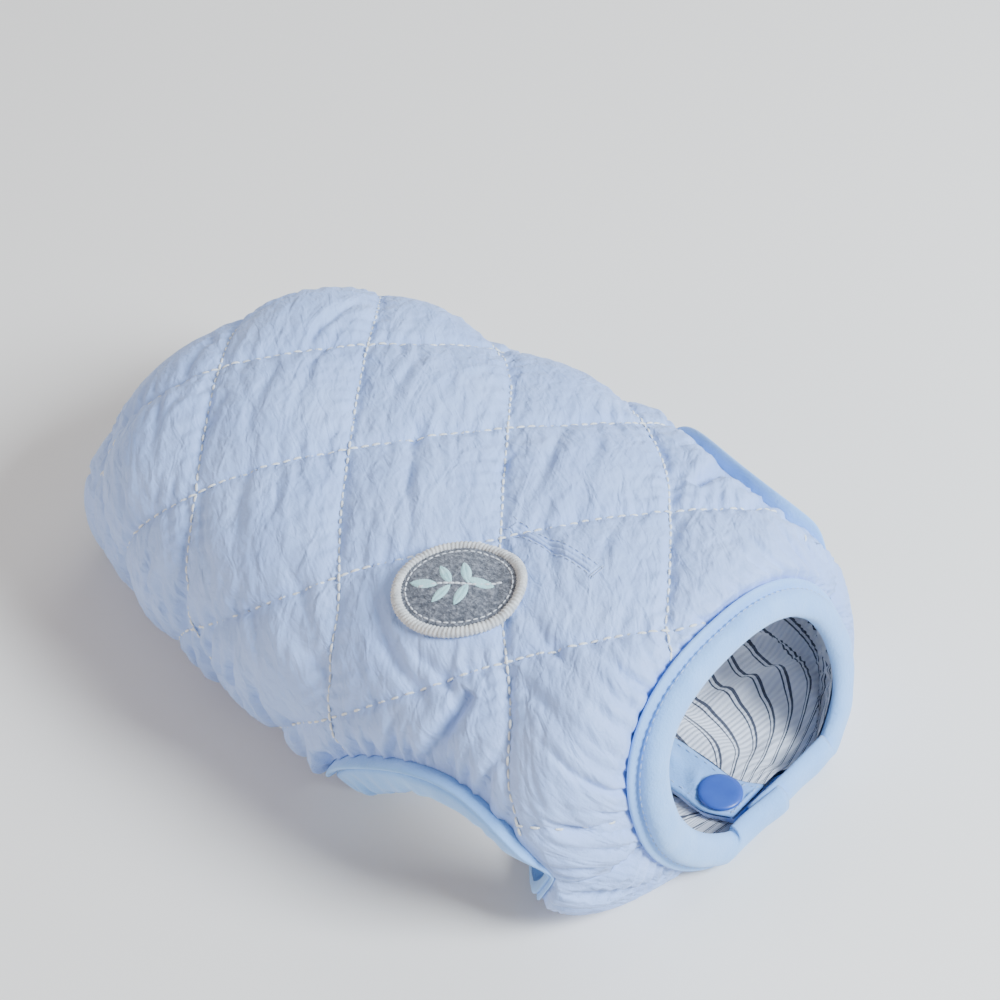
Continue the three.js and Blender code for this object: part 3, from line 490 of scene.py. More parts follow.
while gather_u < 236:
    flank_gathers.append((gather_u, chance.uniform(38, 72), chance.uniform(1.7, 3.0), chance.uniform(1.8, 4.2)))
    gather_u += chance.uniform(6, 12)


def gather_depth(u, w, side_edge):
    """Depth of all gathers at a point; side_edge is the distance to the panel's edge at the side."""
    depth = np.zeros(np.broadcast(u, w).shape)
    for place, reach, width, deep in neck_gathers:
        near = (u < reach) & (np.abs(w - place) < 4 * width)
        depth[near] += deep * np.exp(-(((w[near] - place) / width) ** 2)) * (1 - ease(u[near] / reach))
    for lip_u, lean, reach, width, deep in ARMHOLE_TROUGHS:
        away = np.clip(side_edge, 0, None)
        near = (away < reach) & (np.abs(u - lip_u) < 5 * width) & (np.abs(w) > 45)
        middle = lip_u + lean * away[near]
        spread = 0.62 * width * (1 - 0.4 * away[near] / reach)
        fade = (1 - ease(away[near] / reach)) * (1 + 0.5 * np.exp(-away[near] / 4))
        depth[near] += 1.7 * deep * np.exp(-(((u[near] - middle) / spread) ** 2)) * fade
    for place, reach, width, deep in flank_gathers:
        away = np.clip(side_edge, 0, None)
        near = (away < reach) & (np.abs(u - place) < 4 * width) & (np.abs(w) > 30)
        fade = (1 - ease(away[near] / reach)) * ease(away[near] / 3)
        depth[near] += deep * np.exp(-(((u[near] - place) / width) ** 2)) * fade
    return depth


print("gathers:", len(neck_gathers) + len(flank_gathers) + 2 * len(ARMHOLE_TROUGHS))


# %% The outer face of the shell
def shell_out(u, w, to_edge, side_edge):
    """How far the shell's outer face stands out of the form."""
    height = look_up(form_points, u, w)[..., 2]
    puff = puff_height(u, w, to_edge, height)
    off_floor = ease((height - FORM_FLOOR) / 8)
    creases = stroke_height(u, w, ALL_STROKES) * ease(to_edge / 8) * off_floor
    gathers = gather_depth(u, w, side_edge) * np.maximum(off_floor, 0.1)
    beside_armhole = ease((u - 8) / 8) * ease((88 - u) / 8) * (np.abs(w) > 40)
    pressed = beside_armhole * (1 - ease(side_edge / 12))
    puff = puff * (1 - 0.85 * pressed)
    swell = 0.9 * beside_armhole * ease((side_edge - 3) / 8) * (1 - ease(side_edge / 26))
    swell = swell + 1.3 * ease((u - 1) / 4) * (1 - ease(u / 20))
    return np.maximum(WALL + puff + creases + swell * off_floor - gathers, 0.35)


def edge_distances(u, w):
    side_edge = np.minimum(back_edge(u, 1) - w, back_edge(u, -1) + w)
    return np.minimum(np.minimum(side_edge, u), BACK_LENGTH - u), side_edge


def back_shell(u, w):
    to_edge, side_edge = edge_distances(u, w)
    return on_form(u, w, shell_out(u, w, to_edge, side_edge))


# %% [markdown]
# ## Building cloth
# Every panel is a grid of points that follows its outline. The helper turns such a grid into one mesh,
# keeps the cloth coordinates as a UV map for the weave and stripes, and shades it smooth.

# %% Mesh helpers
def new_piece(name, vertices, faces, coordinates=None, smooth=True):
    mesh = bpy.data.meshes.new(name)
    mesh.from_pydata([tuple(v) for v in np.asarray(vertices) * MM], [], [tuple(map(int, f)) for f in faces])
    if coordinates is not None:
        layer = mesh.uv_layers.new(name="cloth")
        corners = np.zeros(len(mesh.loops), np.int32)
        mesh.loops.foreach_get("vertex_index", corners)
        layer.data.foreach_set("uv", (np.asarray(coordinates) * 0.1)[corners].astype(np.float32).ravel())
    mesh.polygons.foreach_set("use_smooth", np.full(len(mesh.polygons), smooth))
    mesh.update()
    piece = bpy.data.objects.new(name, mesh)
    bpy.context.scene.collection.objects.link(piece)
    return piece


def grid_faces(rows, columns, close_rows=False, close_columns=False):
    last_row = rows if close_rows else rows - 1
    last_column = columns if close_columns else columns - 1
    r, c = np.meshgrid(np.arange(last_row), np.arange(last_column), indexing="ij")
    r2, c2 = (r + 1) % rows, (c + 1) % columns
    quads = [r * columns + c, r * columns + c2, r2 * columns + c2, r2 * columns + c]
    return np.stack([q.ravel() for q in quads], axis=1)


def cloth_piece(name, outer, inner, coordinates):
    """A sheet of cloth with its border turned in, so that its cut edge has a thickness."""
    rows, columns = outer.shape[:2]
    points = np.pad(outer, ((1, 1), (1, 1), (0, 0)), mode="edge")
    border = np.pad(inner, ((1, 1), (1, 1), (0, 0)), mode="edge")
    places = np.pad(coordinates, ((1, 1), (1, 1), (0, 0)), mode="edge")
    points[0], points[-1] = border[0], border[-1]
    points[:, 0], points[:, -1] = border[:, 0], border[:, -1]
    faces = grid_faces(rows + 2, columns + 2)
    return new_piece(name, points.reshape(-1, 3), faces, places.reshape(-1, 2))


def fine_rows(end, step):
    """Rows along the cloth, closer together at the two ends of the armhole."""
    values = list(np.arange(SEAM_GAP, end, step)) + [end]
    for tip, way in ((ARMHOLE["front"], 1), (ARMHOLE["rear"], -1)):
        values += [tip + way * near for near in (0.03, 0.2, 0.6, 1.2)]
    values = np.array(sorted(value for value in values if value <= end))
    keep = np.concatenate([[True], np.diff(values) > 0.12])
    return values[keep]


# %% [markdown]
# ## The back of the shell
# The back is the largest piece. Its columns are evenly spaced over the top and close up towards the
# armholes, so that the quilting stays sharp where it is seen and the outline is followed exactly.

# %% Back panel
FINE = 1.05
FIXED_HALF = 40


def back_columns(u, step, inset=0.0):
    sides = []
    for side in (-1, 1):
        count = int(70 / step)
        share = np.linspace(0, 1, count + 1)[1:]
        edge = back_edge(u, side)[:, None] - inset
        sides.append(side * (FIXED_HALF + (edge - FIXED_HALF) * share[None, :]))
    centre = np.linspace(-FIXED_HALF, FIXED_HALF, int(2 * FIXED_HALF / step) + 1)
    centre = np.repeat(centre[None, :], len(u), axis=0)
    return np.concatenate([sides[0][:, ::-1], centre, sides[1]], axis=1)


back_u = fine_rows(BACK_LENGTH, FINE)
back_w = back_columns(back_u, FINE)
back_uu = np.repeat(back_u[:, None], back_w.shape[1], axis=1)
back_outer = back_shell(back_uu, back_w)
back_inner = on_form(back_uu, back_w, np.zeros(back_w.shape))
back_panel = cloth_piece("quilted_back", back_outer, back_inner, np.stack([back_uu, back_w], axis=2))
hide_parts("back_panel")
print("back panel faces:", len(back_panel.data.polygons))

# %% [markdown]
# ## The chest panels
# The two chest panels run from the side seams to the belly, where the left one laps over the right one
# inside the coat. Under the belly the puffs are pressed flat by the coat's own weight.

# %% Chest panels
SIDE_SHARE = 0.62


def chest_grid(side, rows, step, past_centre, inset=0.0):
    """Cloth coordinates of a chest panel, with the distance of each point to the belly centre."""
    u = rows[:, None]
    start = chest_edge(u, side) + inset
    share = np.linspace(0, 1, int(90 / step) + 1)[None, :]
    guess = mix(start, belly_centre(u, side) + past_centre, share)
    shift = HEM_CURVE * (1 - np.exp(-(guess - start) / HEM_LENGTH)) * (u / SIDE_SEAM_END) ** 2
    u = np.maximum(SEAM_GAP, u - shift)
    distance = mix(start, belly_centre(u, side) + past_centre, share)
    to_centre = belly_centre(u, side) - distance
    to_edge = np.minimum(np.minimum(distance - start, rows[:, None]), SIDE_SEAM_END - rows[:, None])
    return u, side * distance, to_centre, to_edge, distance - start


chest_u = fine_rows(SIDE_SEAM_END, FINE)
for side, side_name in ((-1, "right"), (1, "left")):
    u, w, to_centre, to_edge, side_edge = chest_grid(side, chest_u, FINE, LAP)
    out = shell_out(u, w, to_edge, side_edge + 60)
    lift = lap_lift(side, to_centre)
    outer, inner = on_form(u, w, out, lift), on_form(u, w, np.zeros(u.shape), lift)
    panel = cloth_piece("quilted_chest_" + side_name, outer, inner, np.stack([u, w], axis=2))
    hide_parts("chest_panel_" + side_name)
    print("chest panel", side_name, "faces:", len(panel.data.polygons))

# %% [markdown]
# ## The lining
# The lining hangs a little inside the shell and is cut slightly large, so it falls in soft folds between
# the seams. It is one thin surface, inset from the bindings. Its folds are strokes again, broad and deep.

# %% Lining of the back and the chest
LINING_OUT = -1.35
LINING_FOLDS = [
    (21, 152, 73, 46, 3, 3.8, 1.5),
    (10, 135, 60, 34, -3, 3.2, 1.3),
    (32, 160, 80, 44, 4, 3.8, 1.4),
    (27, 140, 30, 26, 3, 2.6, 1.1),
    (8, 152, 85, 30, -3, 2.4, 1.0),
    (12, 78, 8, 40, 5, 4.0, 2.4),
    (20, 92, -12, 46, -6, 4.5, 2.8),
    (16, 108, 5, 36, 4, 3.6, 2.2),
    (30, 66, 14, 44, 5, 4.2, 2.4),
    (26, 122, -8, 40, -4, 4.0, 2.2),
    (44, 90, 12, 52, 6, 5.0, 2.8),
    (48, 60, -6, 40, 4, 4.4, 2.0),
    (14, -84, 10, 36, 4, 4.0, 2.0),
    (26, -96, -8, 40, -4, 4.2, 2.4),
    (22, 20, 6, 44, 4, 4.4, 1.8),
    (40, -40, -10, 48, 5, 4.8, 2.0),
] + [
    (chance.uniform(20, 230), chance.uniform(-130, 130), chance.uniform(-30, 30), chance.uniform(30, 60),
     chance.uniform(-6, 6), chance.uniform(3.5, 6), chance.uniform(1.0, 2.4))
    for _ in range(60)
]


def lining_out(u, w, to_edge):
    folds = stroke_height(u, w, LINING_FOLDS)
    return LINING_OUT - np.maximum(2.3 * folds, -0.2) * ease(to_edge / 9) - 0.5 * ease(to_edge / 5)


LINING_STEP = 1.8
LINING_INSET = 0.6
rows = fine_rows(BACK_LENGTH - 1, LINING_STEP)
w = back_columns(rows, LINING_STEP, LINING_INSET)
u = np.repeat(rows[:, None], w.shape[1], axis=1)
to_edge, _ = edge_distances(u, w)
linings = {}
linings["back"] = new_piece(
    "striped_lining_back",
    on_form(u, w, lining_out(u, w, to_edge)).reshape(-1, 3),
    grid_faces(*w.shape),
    np.stack([u, w], axis=2).reshape(-1, 2),
)
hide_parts("back_lining")
TAPE_WIDTH = 14
for side, side_name in ((-1, "right"), (1, "left")):
    rows = fine_rows(SIDE_SEAM_END - 1, LINING_STEP)
    u, w, to_centre, to_edge, _ = chest_grid(side, rows, LINING_STEP, LAP - TAPE_WIDTH, LINING_INSET)
    to_edge = np.minimum(to_edge, to_centre - (TAPE_WIDTH - LAP))
    linings[side_name] = new_piece(
        "striped_lining_" + side_name,
        on_form(u, w, lining_out(u, w, to_edge), lap_lift(side, to_centre)).reshape(-1, 3),
        grid_faces(*w.shape),
        np.stack([u, w], axis=2).reshape(-1, 2),
    )
    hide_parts("chest_lining_" + side_name)
print("linings:", sorted(linings))

# %% [markdown]
# ## Bindings
# Each opening is finished with a strip of jersey, folded in half and sewn on, with a narrow raised lip at
# the seam and a soft band beside it. In section it is a closed outline, and that outline is carried along
# the edge. A curve with a bevel could do it too, but a swept outline lets the band gather and curl.

# %% Profiles and the sweep
NECK_PROFILE = [
    (0.1, 1.2), (0.2, 3.0), (0.8, 4.1), (1.6, 4.0), (2.1, 2.8), (2.5, 1.7), (3.1, 2.0), (4.0, 2.0), (5.4, 1.3),
    (6.5, -0.4), (6.9, -2.6),
    (6.9, -4.8), (6.2, -6.6), (4.9, -7.6), (3.9, -7.5), (3.4, -6.4), (4.7, -4.4), (4.6, -2.2), (2.4, -1.5), (0.3, -1.3),
]
BAND_PROFILE = [
    (0.1, 1.0), (0.1, 2.8), (0.5, 4.2), (1.2, 4.4), (1.75, 3.5), (2.2, 1.7), (2.9, 2.4), (4.1, 2.7), (6.2, 2.1),
    (8.6, 0.9), (9.9, -1.0), (9.3, -2.3), (7.6, -1.2), (5.4, -0.6), (2.6, -1.0), (0.3, -1.3),
]


def rounded(profile, per_point=3):
    """The profile as a smooth closed curve through its points."""
    points = np.array(profile, float)
    share = np.linspace(0, 1, per_point, endpoint=False)[:, None]
    before, after, later = np.roll(points, 1, 0), np.roll(points, -1, 0), np.roll(points, -2, 0)
    curve = []
    for p0, p1, p2, p3 in zip(before, points, after, later):
        curve.append(
            0.5 * (2 * p1 + (p2 - p0) * share + (2 * p0 - 5 * p1 + 4 * p2 - p3) * share**2
                   + (3 * p1 - p0 - 3 * p2 + p3) * share**3)
        )
    return np.concatenate(curve)


def smooth_along(values, reach, closed):
    weights = np.hanning(2 * reach + 3)[1:-1]
    padded_values = np.pad(values, ((reach, reach), (0, 0)), mode="wrap" if closed else "edge")
    return np.stack(
        [np.convolve(padded_values[:, k], weights / weights.sum(), mode="valid") for k in range(values.shape[1])], 1
    )


def directions(points, normals, closed, reach=4):
    """Unit vectors that lie in the cloth and point past its edge, into the opening."""
    if closed:
        tangent = np.roll(points, -1, 0) - np.roll(points, 1, 0)
    else:
        tangent = np.gradient(points, axis=0)
    beyond = unit(np.cross(unit(tangent), normals))
    inward = points.mean(axis=0) - points
    if (beyond * inward).sum(axis=1).mean() < 0:
        beyond = -beyond
    return unit(smooth_along(beyond, reach, closed))


def swept(name, points, normals, beyond, profile, width, size, closed, ripple=None, curl=None):
    """Carries a profile along an edge. width scales the soft band, curl its inward roll, ripple moves it."""
    outline = rounded(profile)
    past, out = outline[:, 0][None, :], outline[:, 1][None, :]
    lip = 3.8
    band = np.clip((past - lip) / 3, 0, 1)
    past = np.where(past > lip, lip + (past - lip) * width[:, None], past) * size[:, None]
    if curl is not None:
        out = np.where(out < -1.3, -1.3 + (out + 1.3) * curl[:, None], out)
    out = out * size[:, None]
    if ripple is not None:
        more_past, more_out = ripple(np.arange(len(points)), past, band)
        past, out = past + more_past, out + more_out
    rings = points[:, None, :] + past[..., None] * beyond[:, None, :] + out[..., None] * normals[:, None, :]
    lowest = rings[..., 2].min(axis=1)
    rings[..., 2] -= np.minimum(lowest, 0)[:, None]
    rows, columns = rings.shape[:2]
    faces = [tuple(face) for face in grid_faces(rows, columns, close_rows=closed, close_columns=True)]
    if not closed:
        faces += [tuple(range(columns))[::-1], tuple(range((rows - 1) * columns, rows * columns))]
    length = np.concatenate([[0], np.cumsum(np.linalg.norm(np.diff(points, axis=0), axis=1))])
    around = np.arange(columns) * 1.2
    places = np.stack([np.repeat(length[:, None], columns, 1), np.repeat(around[None, :], rows, 0)], axis=2)
    return new_piece(name, rings.reshape(-1, 3), faces, places.reshape(-1, 2)), rings


print("points in a profile:", len(rounded(NECK_PROFILE)))

# %% Neck binding, whose near end laps over its far end under the throat
NECK_STEP = 1.6
NECK_OVERLAP = 5
neck_w = np.arange(-belly_centre(0.0, -1) - NECK_OVERLAP, belly_centre(0.0, 1) + NECK_OVERLAP, NECK_STEP)
neck_points = look_up(form_points, 0, neck_w)
neck_normals = unit(look_up(form_normals, 0, neck_w))
neck_beyond = np.repeat(NECK_AXIS[None, :], len(neck_w), axis=0)
from_near_end = neck_w - neck_w[0]
from_far_end = neck_w[-1] - neck_w
neck_points = neck_points + neck_beyond * (1.3 * ease(1 - from_near_end / 16))[:, None]
neck_points = neck_points - neck_beyond * (0.9 * ease(1 - from_far_end / 16))[:, None]
NECK_WAVES = [(0.11, 0.35, 0.4), (0.29, 0.22, 1.9), (0.53, 0.14, 0.7)]


def neck_ripple(station, past, band):
    place = station[:, None] * NECK_STEP
    wave = sum(height * np.sin(rate * place + start) for rate, height, start in NECK_WAVES)
    return 0.5 * wave * band, 0.7 * wave * band


neck_size = 1 - 0.12 * ease(1 - from_far_end / 14)
neck_curl = 1 - 0.45 * np.exp(-(((neck_w - 22) / 50) ** 2))
neck_binding, neck_rings = swept(
    "neck_band", neck_points, neck_normals, neck_beyond, NECK_PROFILE,
    np.ones(len(neck_w)), neck_size, False, neck_ripple, neck_curl,
)
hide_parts("neck_binding")
print("neck seam length:", round(float(neck_w[-1] - neck_w[0])), "mm")

# %% Armhole bindings: the band narrows at the two ends and gathers in small scallops
ARMHOLE_POINTS = 190


def armhole_curve(side):
    angle = np.linspace(0, 2 * np.pi, ARMHOLE_POINTS, endpoint=False)
    front, rear = ARMHOLE["front"], ARMHOLE["rear"]
    u = (front + rear) / 2 - (rear - front) / 2 * np.cos(angle)
    up, down = np.maximum(np.sin(angle), 0), np.maximum(-np.sin(angle), 0)
    pointed = np.where(u < (front + rear) / 2, down**1.5, down)
    depth = ARMHOLE["drop"] * pointed + ARMHOLE["dip"] * down**3 - ARMHOLE["rise"] * up
    w = mix(ARMHOLE["front_w"], ARMHOLE["rear_w"], (u - front) / (rear - front)) + depth
    return u, side * w, angle


bands = {}
for side, side_name in ((-1, "right"), (1, "left")):
    u, w, angle = armhole_curve(side)
    points = look_up(form_points, u, w)
    normals = unit(look_up(form_normals, u, w))
    normals = unit(smooth_along(normals, 3, True))
    beyond = directions(points, normals, True)
    from_front, from_rear = np.abs(np.sin(angle / 2)), np.abs(np.cos(angle / 2))
    front_share = np.where(np.sin(angle) > 0, ease(from_front / 0.24), ease(from_front / 0.8))
    share = np.minimum(front_share, ease(from_rear / 0.22))
    scalloped = ease((u - 42) / 20)

    def scallops(station, past, band):
        place = station[:, None] * 1.0
        much = band * (0.15 + 0.85 * scalloped[:, None])
        wave = 0.9 * np.sin(0.7 * place) + 0.5 * np.sin(1.2 * place + 1) + 0.5 * np.sin(0.31 * place)
        return (0.9 * wave + 3.2 * scalloped[:, None]) * much, 0.7 * np.sin(0.95 * place + 0.5) * much

    bands[side_name], _ = swept(
        "armhole_band_" + side_name, points, normals, beyond, BAND_PROFILE,
        mix(0.05, 1, share), mix(0.45, 1, share), True, scallops,
    )
    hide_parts("armhole_binding_" + side_name)
print("armhole bands:", sorted(bands))

# %% Hem binding along the chest panels, the flanks and the tail
def chest_hem(side, count=46):
    start = chest_edge(np.array(float(SIDE_SEAM_END)), side)
    share = np.linspace(0, 1, count)
    guess = mix(start, belly_centre(float(SIDE_SEAM_END), side), share)
    u = SIDE_SEAM_END - HEM_CURVE * (1 - np.exp(-(guess - start) / HEM_LENGTH))
    distance = mix(start, belly_centre(u, side), share)
    to_centre = belly_centre(u, side) - distance
    points = look_up(form_points, u, side * distance)
    points[:, 2] += lap_lift(side, to_centre)
    return points, look_up(form_normals, u, side * distance)


def flank_edge(side):
    u = np.arange(SIDE_SEAM_END + 2, BACK_LENGTH - 2, 1.5)
    w = side * flank_hem(u, side)
    return look_up(form_points, u, w), look_up(form_normals, u, w)


tail_w = np.linspace(-flank_hem(np.array(BACK_LENGTH), -1), flank_hem(np.array(BACK_LENGTH), 1), 90)
tail_edge = (look_up(form_points, BACK_LENGTH, tail_w), look_up(form_normals, BACK_LENGTH, tail_w))
strips = [
    [part[::-1] for part in chest_hem(-1)],
    flank_edge(-1),
    tail_edge,
    [part[::-1] for part in flank_edge(1)],
    chest_hem(1),
]
hem_points = np.concatenate([strip[0] for strip in strips])
hem_normals = unit(smooth_along(unit(np.concatenate([strip[1] for strip in strips])), 4, False))
hem_points = smooth_along(hem_points, 3, False)
hem_beyond = directions(hem_points, hem_normals, False, 8)
hem_ends = np.minimum(np.arange(len(hem_points)), len(hem_points) - 1 - np.arange(len(hem_points)))
hem_bend = np.linalg.norm(np.gradient(hem_beyond, axis=0), axis=1)[:, None]
hem_narrow = 1 - 0.65 * ease(smooth_along(hem_bend, 8, False)[:, 0] / 0.08)


def hem_ripple(station, past, band):
    place = station[:, None] * 1.4
    uneven = 1.1 * np.sin(0.09 * place)
    wave = 0.8 * np.sin(0.42 * place + uneven) + 0.4 * np.sin(0.17 * place + 2)
    return wave * band, 0.9 * np.sin(0.61 * place + 1 + uneven) * band


hem_binding, _ = swept(
    "hem_band", hem_points, hem_normals, hem_beyond, BAND_PROFILE,
    0.85 * hem_narrow, np.ones(len(hem_points)), False, hem_ripple,
)
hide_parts("hem_binding")
print("hem length:", round(float(np.linalg.norm(np.diff(hem_points, axis=0), axis=1).sum())), "mm")

# %% [markdown]
# ## The belly closure
# A strip of the binding's cloth runs along the inside of each free edge and carries the snaps. The upper
# strip is what is seen through the neck: it buckles a little between its stitched edges, and a stitched
# square fastens it beside the throat.

# %% Placket tapes
TAPE = 0.9
tapes = {}
for side, side_name in ((-1, "right"), (1, "left")):
    rows = np.arange(SEAM_GAP + 0.4, SIDE_SEAM_END, 1.2)
    u = np.maximum(SEAM_GAP, rows - HEM_CURVE * (rows / SIDE_SEAM_END) ** 2)[:, None]
    share = np.linspace(0, 1, 15)[None, :]
    to_centre = mix(TAPE_WIDTH - LAP, -LAP, share) + 0.35 * np.sin(0.31 * rows)[:, None]
    u = np.repeat(u, 15, axis=1)
    w = side * (belly_centre(u, side) - to_centre)
    edge_share = np.sin(np.pi * share)
    buckle = 0.9 * np.sin(0.55 * u + 0.4 * w) + 0.7 * np.sin(0.21 * u - 0.7 * w + 1)
    out = -SEAM_GAP - np.maximum(0, buckle) * edge_share
    lift = lap_lift(side, to_centre)
    lower = on_form(u, w, np.full(u.shape, -SEAM_GAP), lift)
    upper = on_form(u, w, out - TAPE, lift)
    tapes[side_name] = cloth_piece("placket_tape_strip_" + side_name, upper, lower, np.stack([u, w], axis=2))
    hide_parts("placket_tape_" + side_name)
print("tape length:", round(float(np.linalg.norm(np.diff(upper[:, 7], axis=0), axis=1).sum())), "mm")

# %% Snap caps: a low dome with a rolled rim and a shallow dished middle
SNAP_U = (8, 50, 92)
SNAP_PAST_CENTRE = 2
SNAP_RADIUS = 6.2


def turned(name, profile, sides=72):
    """A ring of points for each (radius, height) of the profile, closed with a disc at each end."""
    angle = np.linspace(0, 2 * np.pi, sides, endpoint=False)
    rings = [np.stack([r * np.cos(angle), r * np.sin(angle), np.full(sides, z)], 1) for r, z in profile]
    vertices = np.concatenate(rings)
    faces = [tuple(face) for face in grid_faces(len(profile), sides, close_columns=True)]
    faces += [tuple(range(sides))[::-1], tuple(range((len(profile) - 1) * sides, len(profile) * sides))]
    return new_piece(name, vertices, faces)


INNER_CAP = [
    (5.6, 0.0), (6.0, 0.1), (6.2, 0.4), (6.2, 0.75), (6.05, 1.05), (5.7, 1.3), (5.1, 1.42), (4.3, 1.46),
    (3.6, 1.44), (2.6, 1.4), (1.4, 1.37), (0.5, 1.36),
]
snaps = []
for number, snap_u in enumerate(SNAP_U, start=1):
    centre = look_up(form_points, snap_u, belly_centre(float(snap_u), 1) + SNAP_PAST_CENTRE)
    seat = FORM_FLOOR + OVER_LIFT + 2 * SEAM_GAP + TAPE
    for place, height, squash in (("inner", seat, 1), ("outer", 0, 0.8)):
        cap = turned(f"snap_{place}_{number}", [(r, z * squash) for r, z in INNER_CAP])
        cap.location = Vector((centre[0], centre[1], height)) * MM
        if place == "outer":
            cap.location.z = (UNDER_LIFT - SEAM_GAP) * MM
            cap.rotation_euler = (math.pi, 0, 0)
        snaps.append(cap)
        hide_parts(f"snap_cap_{place}_{number}")
print("snaps:", len(snaps))

# %% [markdown]
# ## Stitches
# The quilting is sewn in a thick cream thread that lies in short bright dashes in the grooves. Each dash
# is a small capsule, laid on the shell along its line and sunk a little at both ends, and all of a
# panel's dashes are joined into one mesh, so that they cost little.

# %% Laying stitches
def capsules(name, centres, tangents, normals, length, radius):
    """Many small capsules as one mesh; each sinks at its ends into the cloth."""
    sides, rings = 6, [(-0.5, 0.25, -0.5), (-0.36, 0.8, -0.1), (-0.14, 1, 0.1), (0.14, 1, 0.1), (0.36, 0.8, -0.1),
                       (0.5, 0.25, -0.5)]
    angle = np.linspace(0, 2 * np.pi, sides, endpoint=False)
    tangents = unit(tangents)
    across_thread = unit(np.cross(normals, tangents))
    up = unit(np.cross(tangents, across_thread))
    vertices = []
    for run, share, rise in rings:
        for turn in angle:
            vertices.append(
                centres + tangents * (run * length) + across_thread * (radius * share * math.cos(turn))
                + up * (radius * (share * math.sin(turn) * 0.8 + rise))
            )
    vertices = np.stack(vertices, axis=1)
    ring_faces = grid_faces(len(rings), sides, close_columns=True)
    caps = [list(range(sides))[::-1], list(range((len(rings) - 1) * sides, len(rings) * sides))]
    count, size = vertices.shape[:2]
    faces = []
    for k in range(count):
        faces += [tuple(face + k * size) for face in ring_faces]
        faces += [tuple(index + k * size for index in cap) for cap in caps]
    return new_piece(name, vertices.reshape(-1, 3), faces)


def quilting_path(family, number, step):
    """Cloth coordinates at even steps along one sewn line."""
    t = np.arange(-260, 260, step)
    long_way = DIAMOND_LONG / math.hypot(DIAMOND_LONG, DIAMOND_WIDE)
    wide_way = DIAMOND_WIDE / math.hypot(DIAMOND_LONG, DIAMOND_WIDE)
    straight_u = CROSSING_U + number * DIAMOND_LONG / 2 + t * long_way
    straight_w = CROSSING_W + family * (number * DIAMOND_WIDE / 2 - t * wide_way)
    u, w = straight_u, straight_w
    for _ in range(12):
        u, w = straight_u + bend(w), straight_w + sway(u, w)
    return u, w


def stitch_line(u, w, place, reach=1.1):
    """Centres, tangents and normals of stitches at cloth coordinates on a surface."""
    du, dw = np.gradient(u), np.gradient(w)
    size = np.maximum(np.hypot(du, dw), 1e-6)
    du, dw = du / size * reach, dw / size * reach
    before, after = place(u - du, w - dw), place(u + du, w + dw)
    return (before + after) / 2, after - before, unit(look_up(form_normals, u, w))


def join_lines(lines):
    return tuple(np.concatenate(parts) for parts in zip(*lines))


THREAD_LENGTH, THREAD_RADIUS = 2.5, 0.4
back_lines = []
for family in (1, -1):
    for number in range(-6, 10):
        u, w = quilting_path(family, number, STITCH_PITCH)
        u = u + chance.uniform(-0.12, 0.12, len(u))
        inside = (u > 3) & (u < BACK_LENGTH - 4)
        inside &= (w < back_edge(u, 1) - 3) & (-w < back_edge(u, -1) - 3)
        if inside.sum() > 2:
            back_lines.append(stitch_line(u[inside], w[inside], back_shell))
centres, tangents, normals = join_lines(back_lines)
centres = centres + normals * 0.3
quilt_thread = capsules("quilting_thread_back", centres, tangents, normals, THREAD_LENGTH, THREAD_RADIUS)
print("stitches on the back:", len(centres))


# %% Stitches on the chest panels
def chest_place(side):
    def place(u, w):
        distance = side * w
        to_centre = belly_centre(u, side) - distance
        side_edge = distance - chest_edge(u, side)
        to_edge = np.minimum(np.minimum(side_edge, u), SIDE_SEAM_END - u)
        return on_form(u, w, shell_out(u, w, to_edge, side_edge + 60), lap_lift(side, to_centre))

    return place


chest_threads = []
for side, side_name in ((-1, "right"), (1, "left")):
    lines = []
    for family in (1, -1):
        for number in range(-8, 10):
            u, w = quilting_path(family, number, STITCH_PITCH)
            distance = side * w
            inside = (u > 3) & (u < SIDE_SEAM_END - HEM_CURVE - 4)
            inside &= (u > 14) & (distance > chest_edge(u, side) + 4) & (distance < belly_centre(u, side) + LAP - 2)
            if inside.sum() > 2:
                lines.append(stitch_line(u[inside], w[inside], chest_place(side)))
    centres, tangents, normals = join_lines(lines)
    thread = capsules(
        "quilting_thread_" + side_name, centres + normals * 0.3, tangents, normals, THREAD_LENGTH, THREAD_RADIUS
    )
    chest_threads.append(thread)
    print("stitches on the", side_name, "chest panel:", len(centres))

# %% [markdown]
# ## Topstitching on the bindings
# A finer line in light blue thread runs along the middle of the neck binding's lip and the upper part of
# each armhole lip. It is what makes the lip look like a folded, sewn edge and not like a moulded one.

# %% Fine stitches along the lips
def lip_stitches(name, points, normals, beyond, past, out, pitch=2.4, closed=False):
    path = points + beyond * past + normals * out
    if closed:
        path = np.concatenate([path, path[:1]])
        normals = np.concatenate([normals, normals[:1]])
    run = np.concatenate([[0], np.cumsum(np.linalg.norm(np.diff(path, axis=0), axis=1))])
    at = np.arange(pitch / 2, run[-1] - pitch / 2, pitch)
    centres = np.stack([np.interp(at, run, path[:, k]) for k in range(3)], 1)
    before = np.stack([np.interp(at - 0.8, run, path[:, k]) for k in range(3)], 1)
    after = np.stack([np.interp(at + 0.8, run, path[:, k]) for k in range(3)], 1)
    up = unit(np.stack([np.interp(at, run, normals[:, k]) for k in range(3)], 1))
    return capsules(name, centres, after - before, up, pitch * 0.7, 0.2)


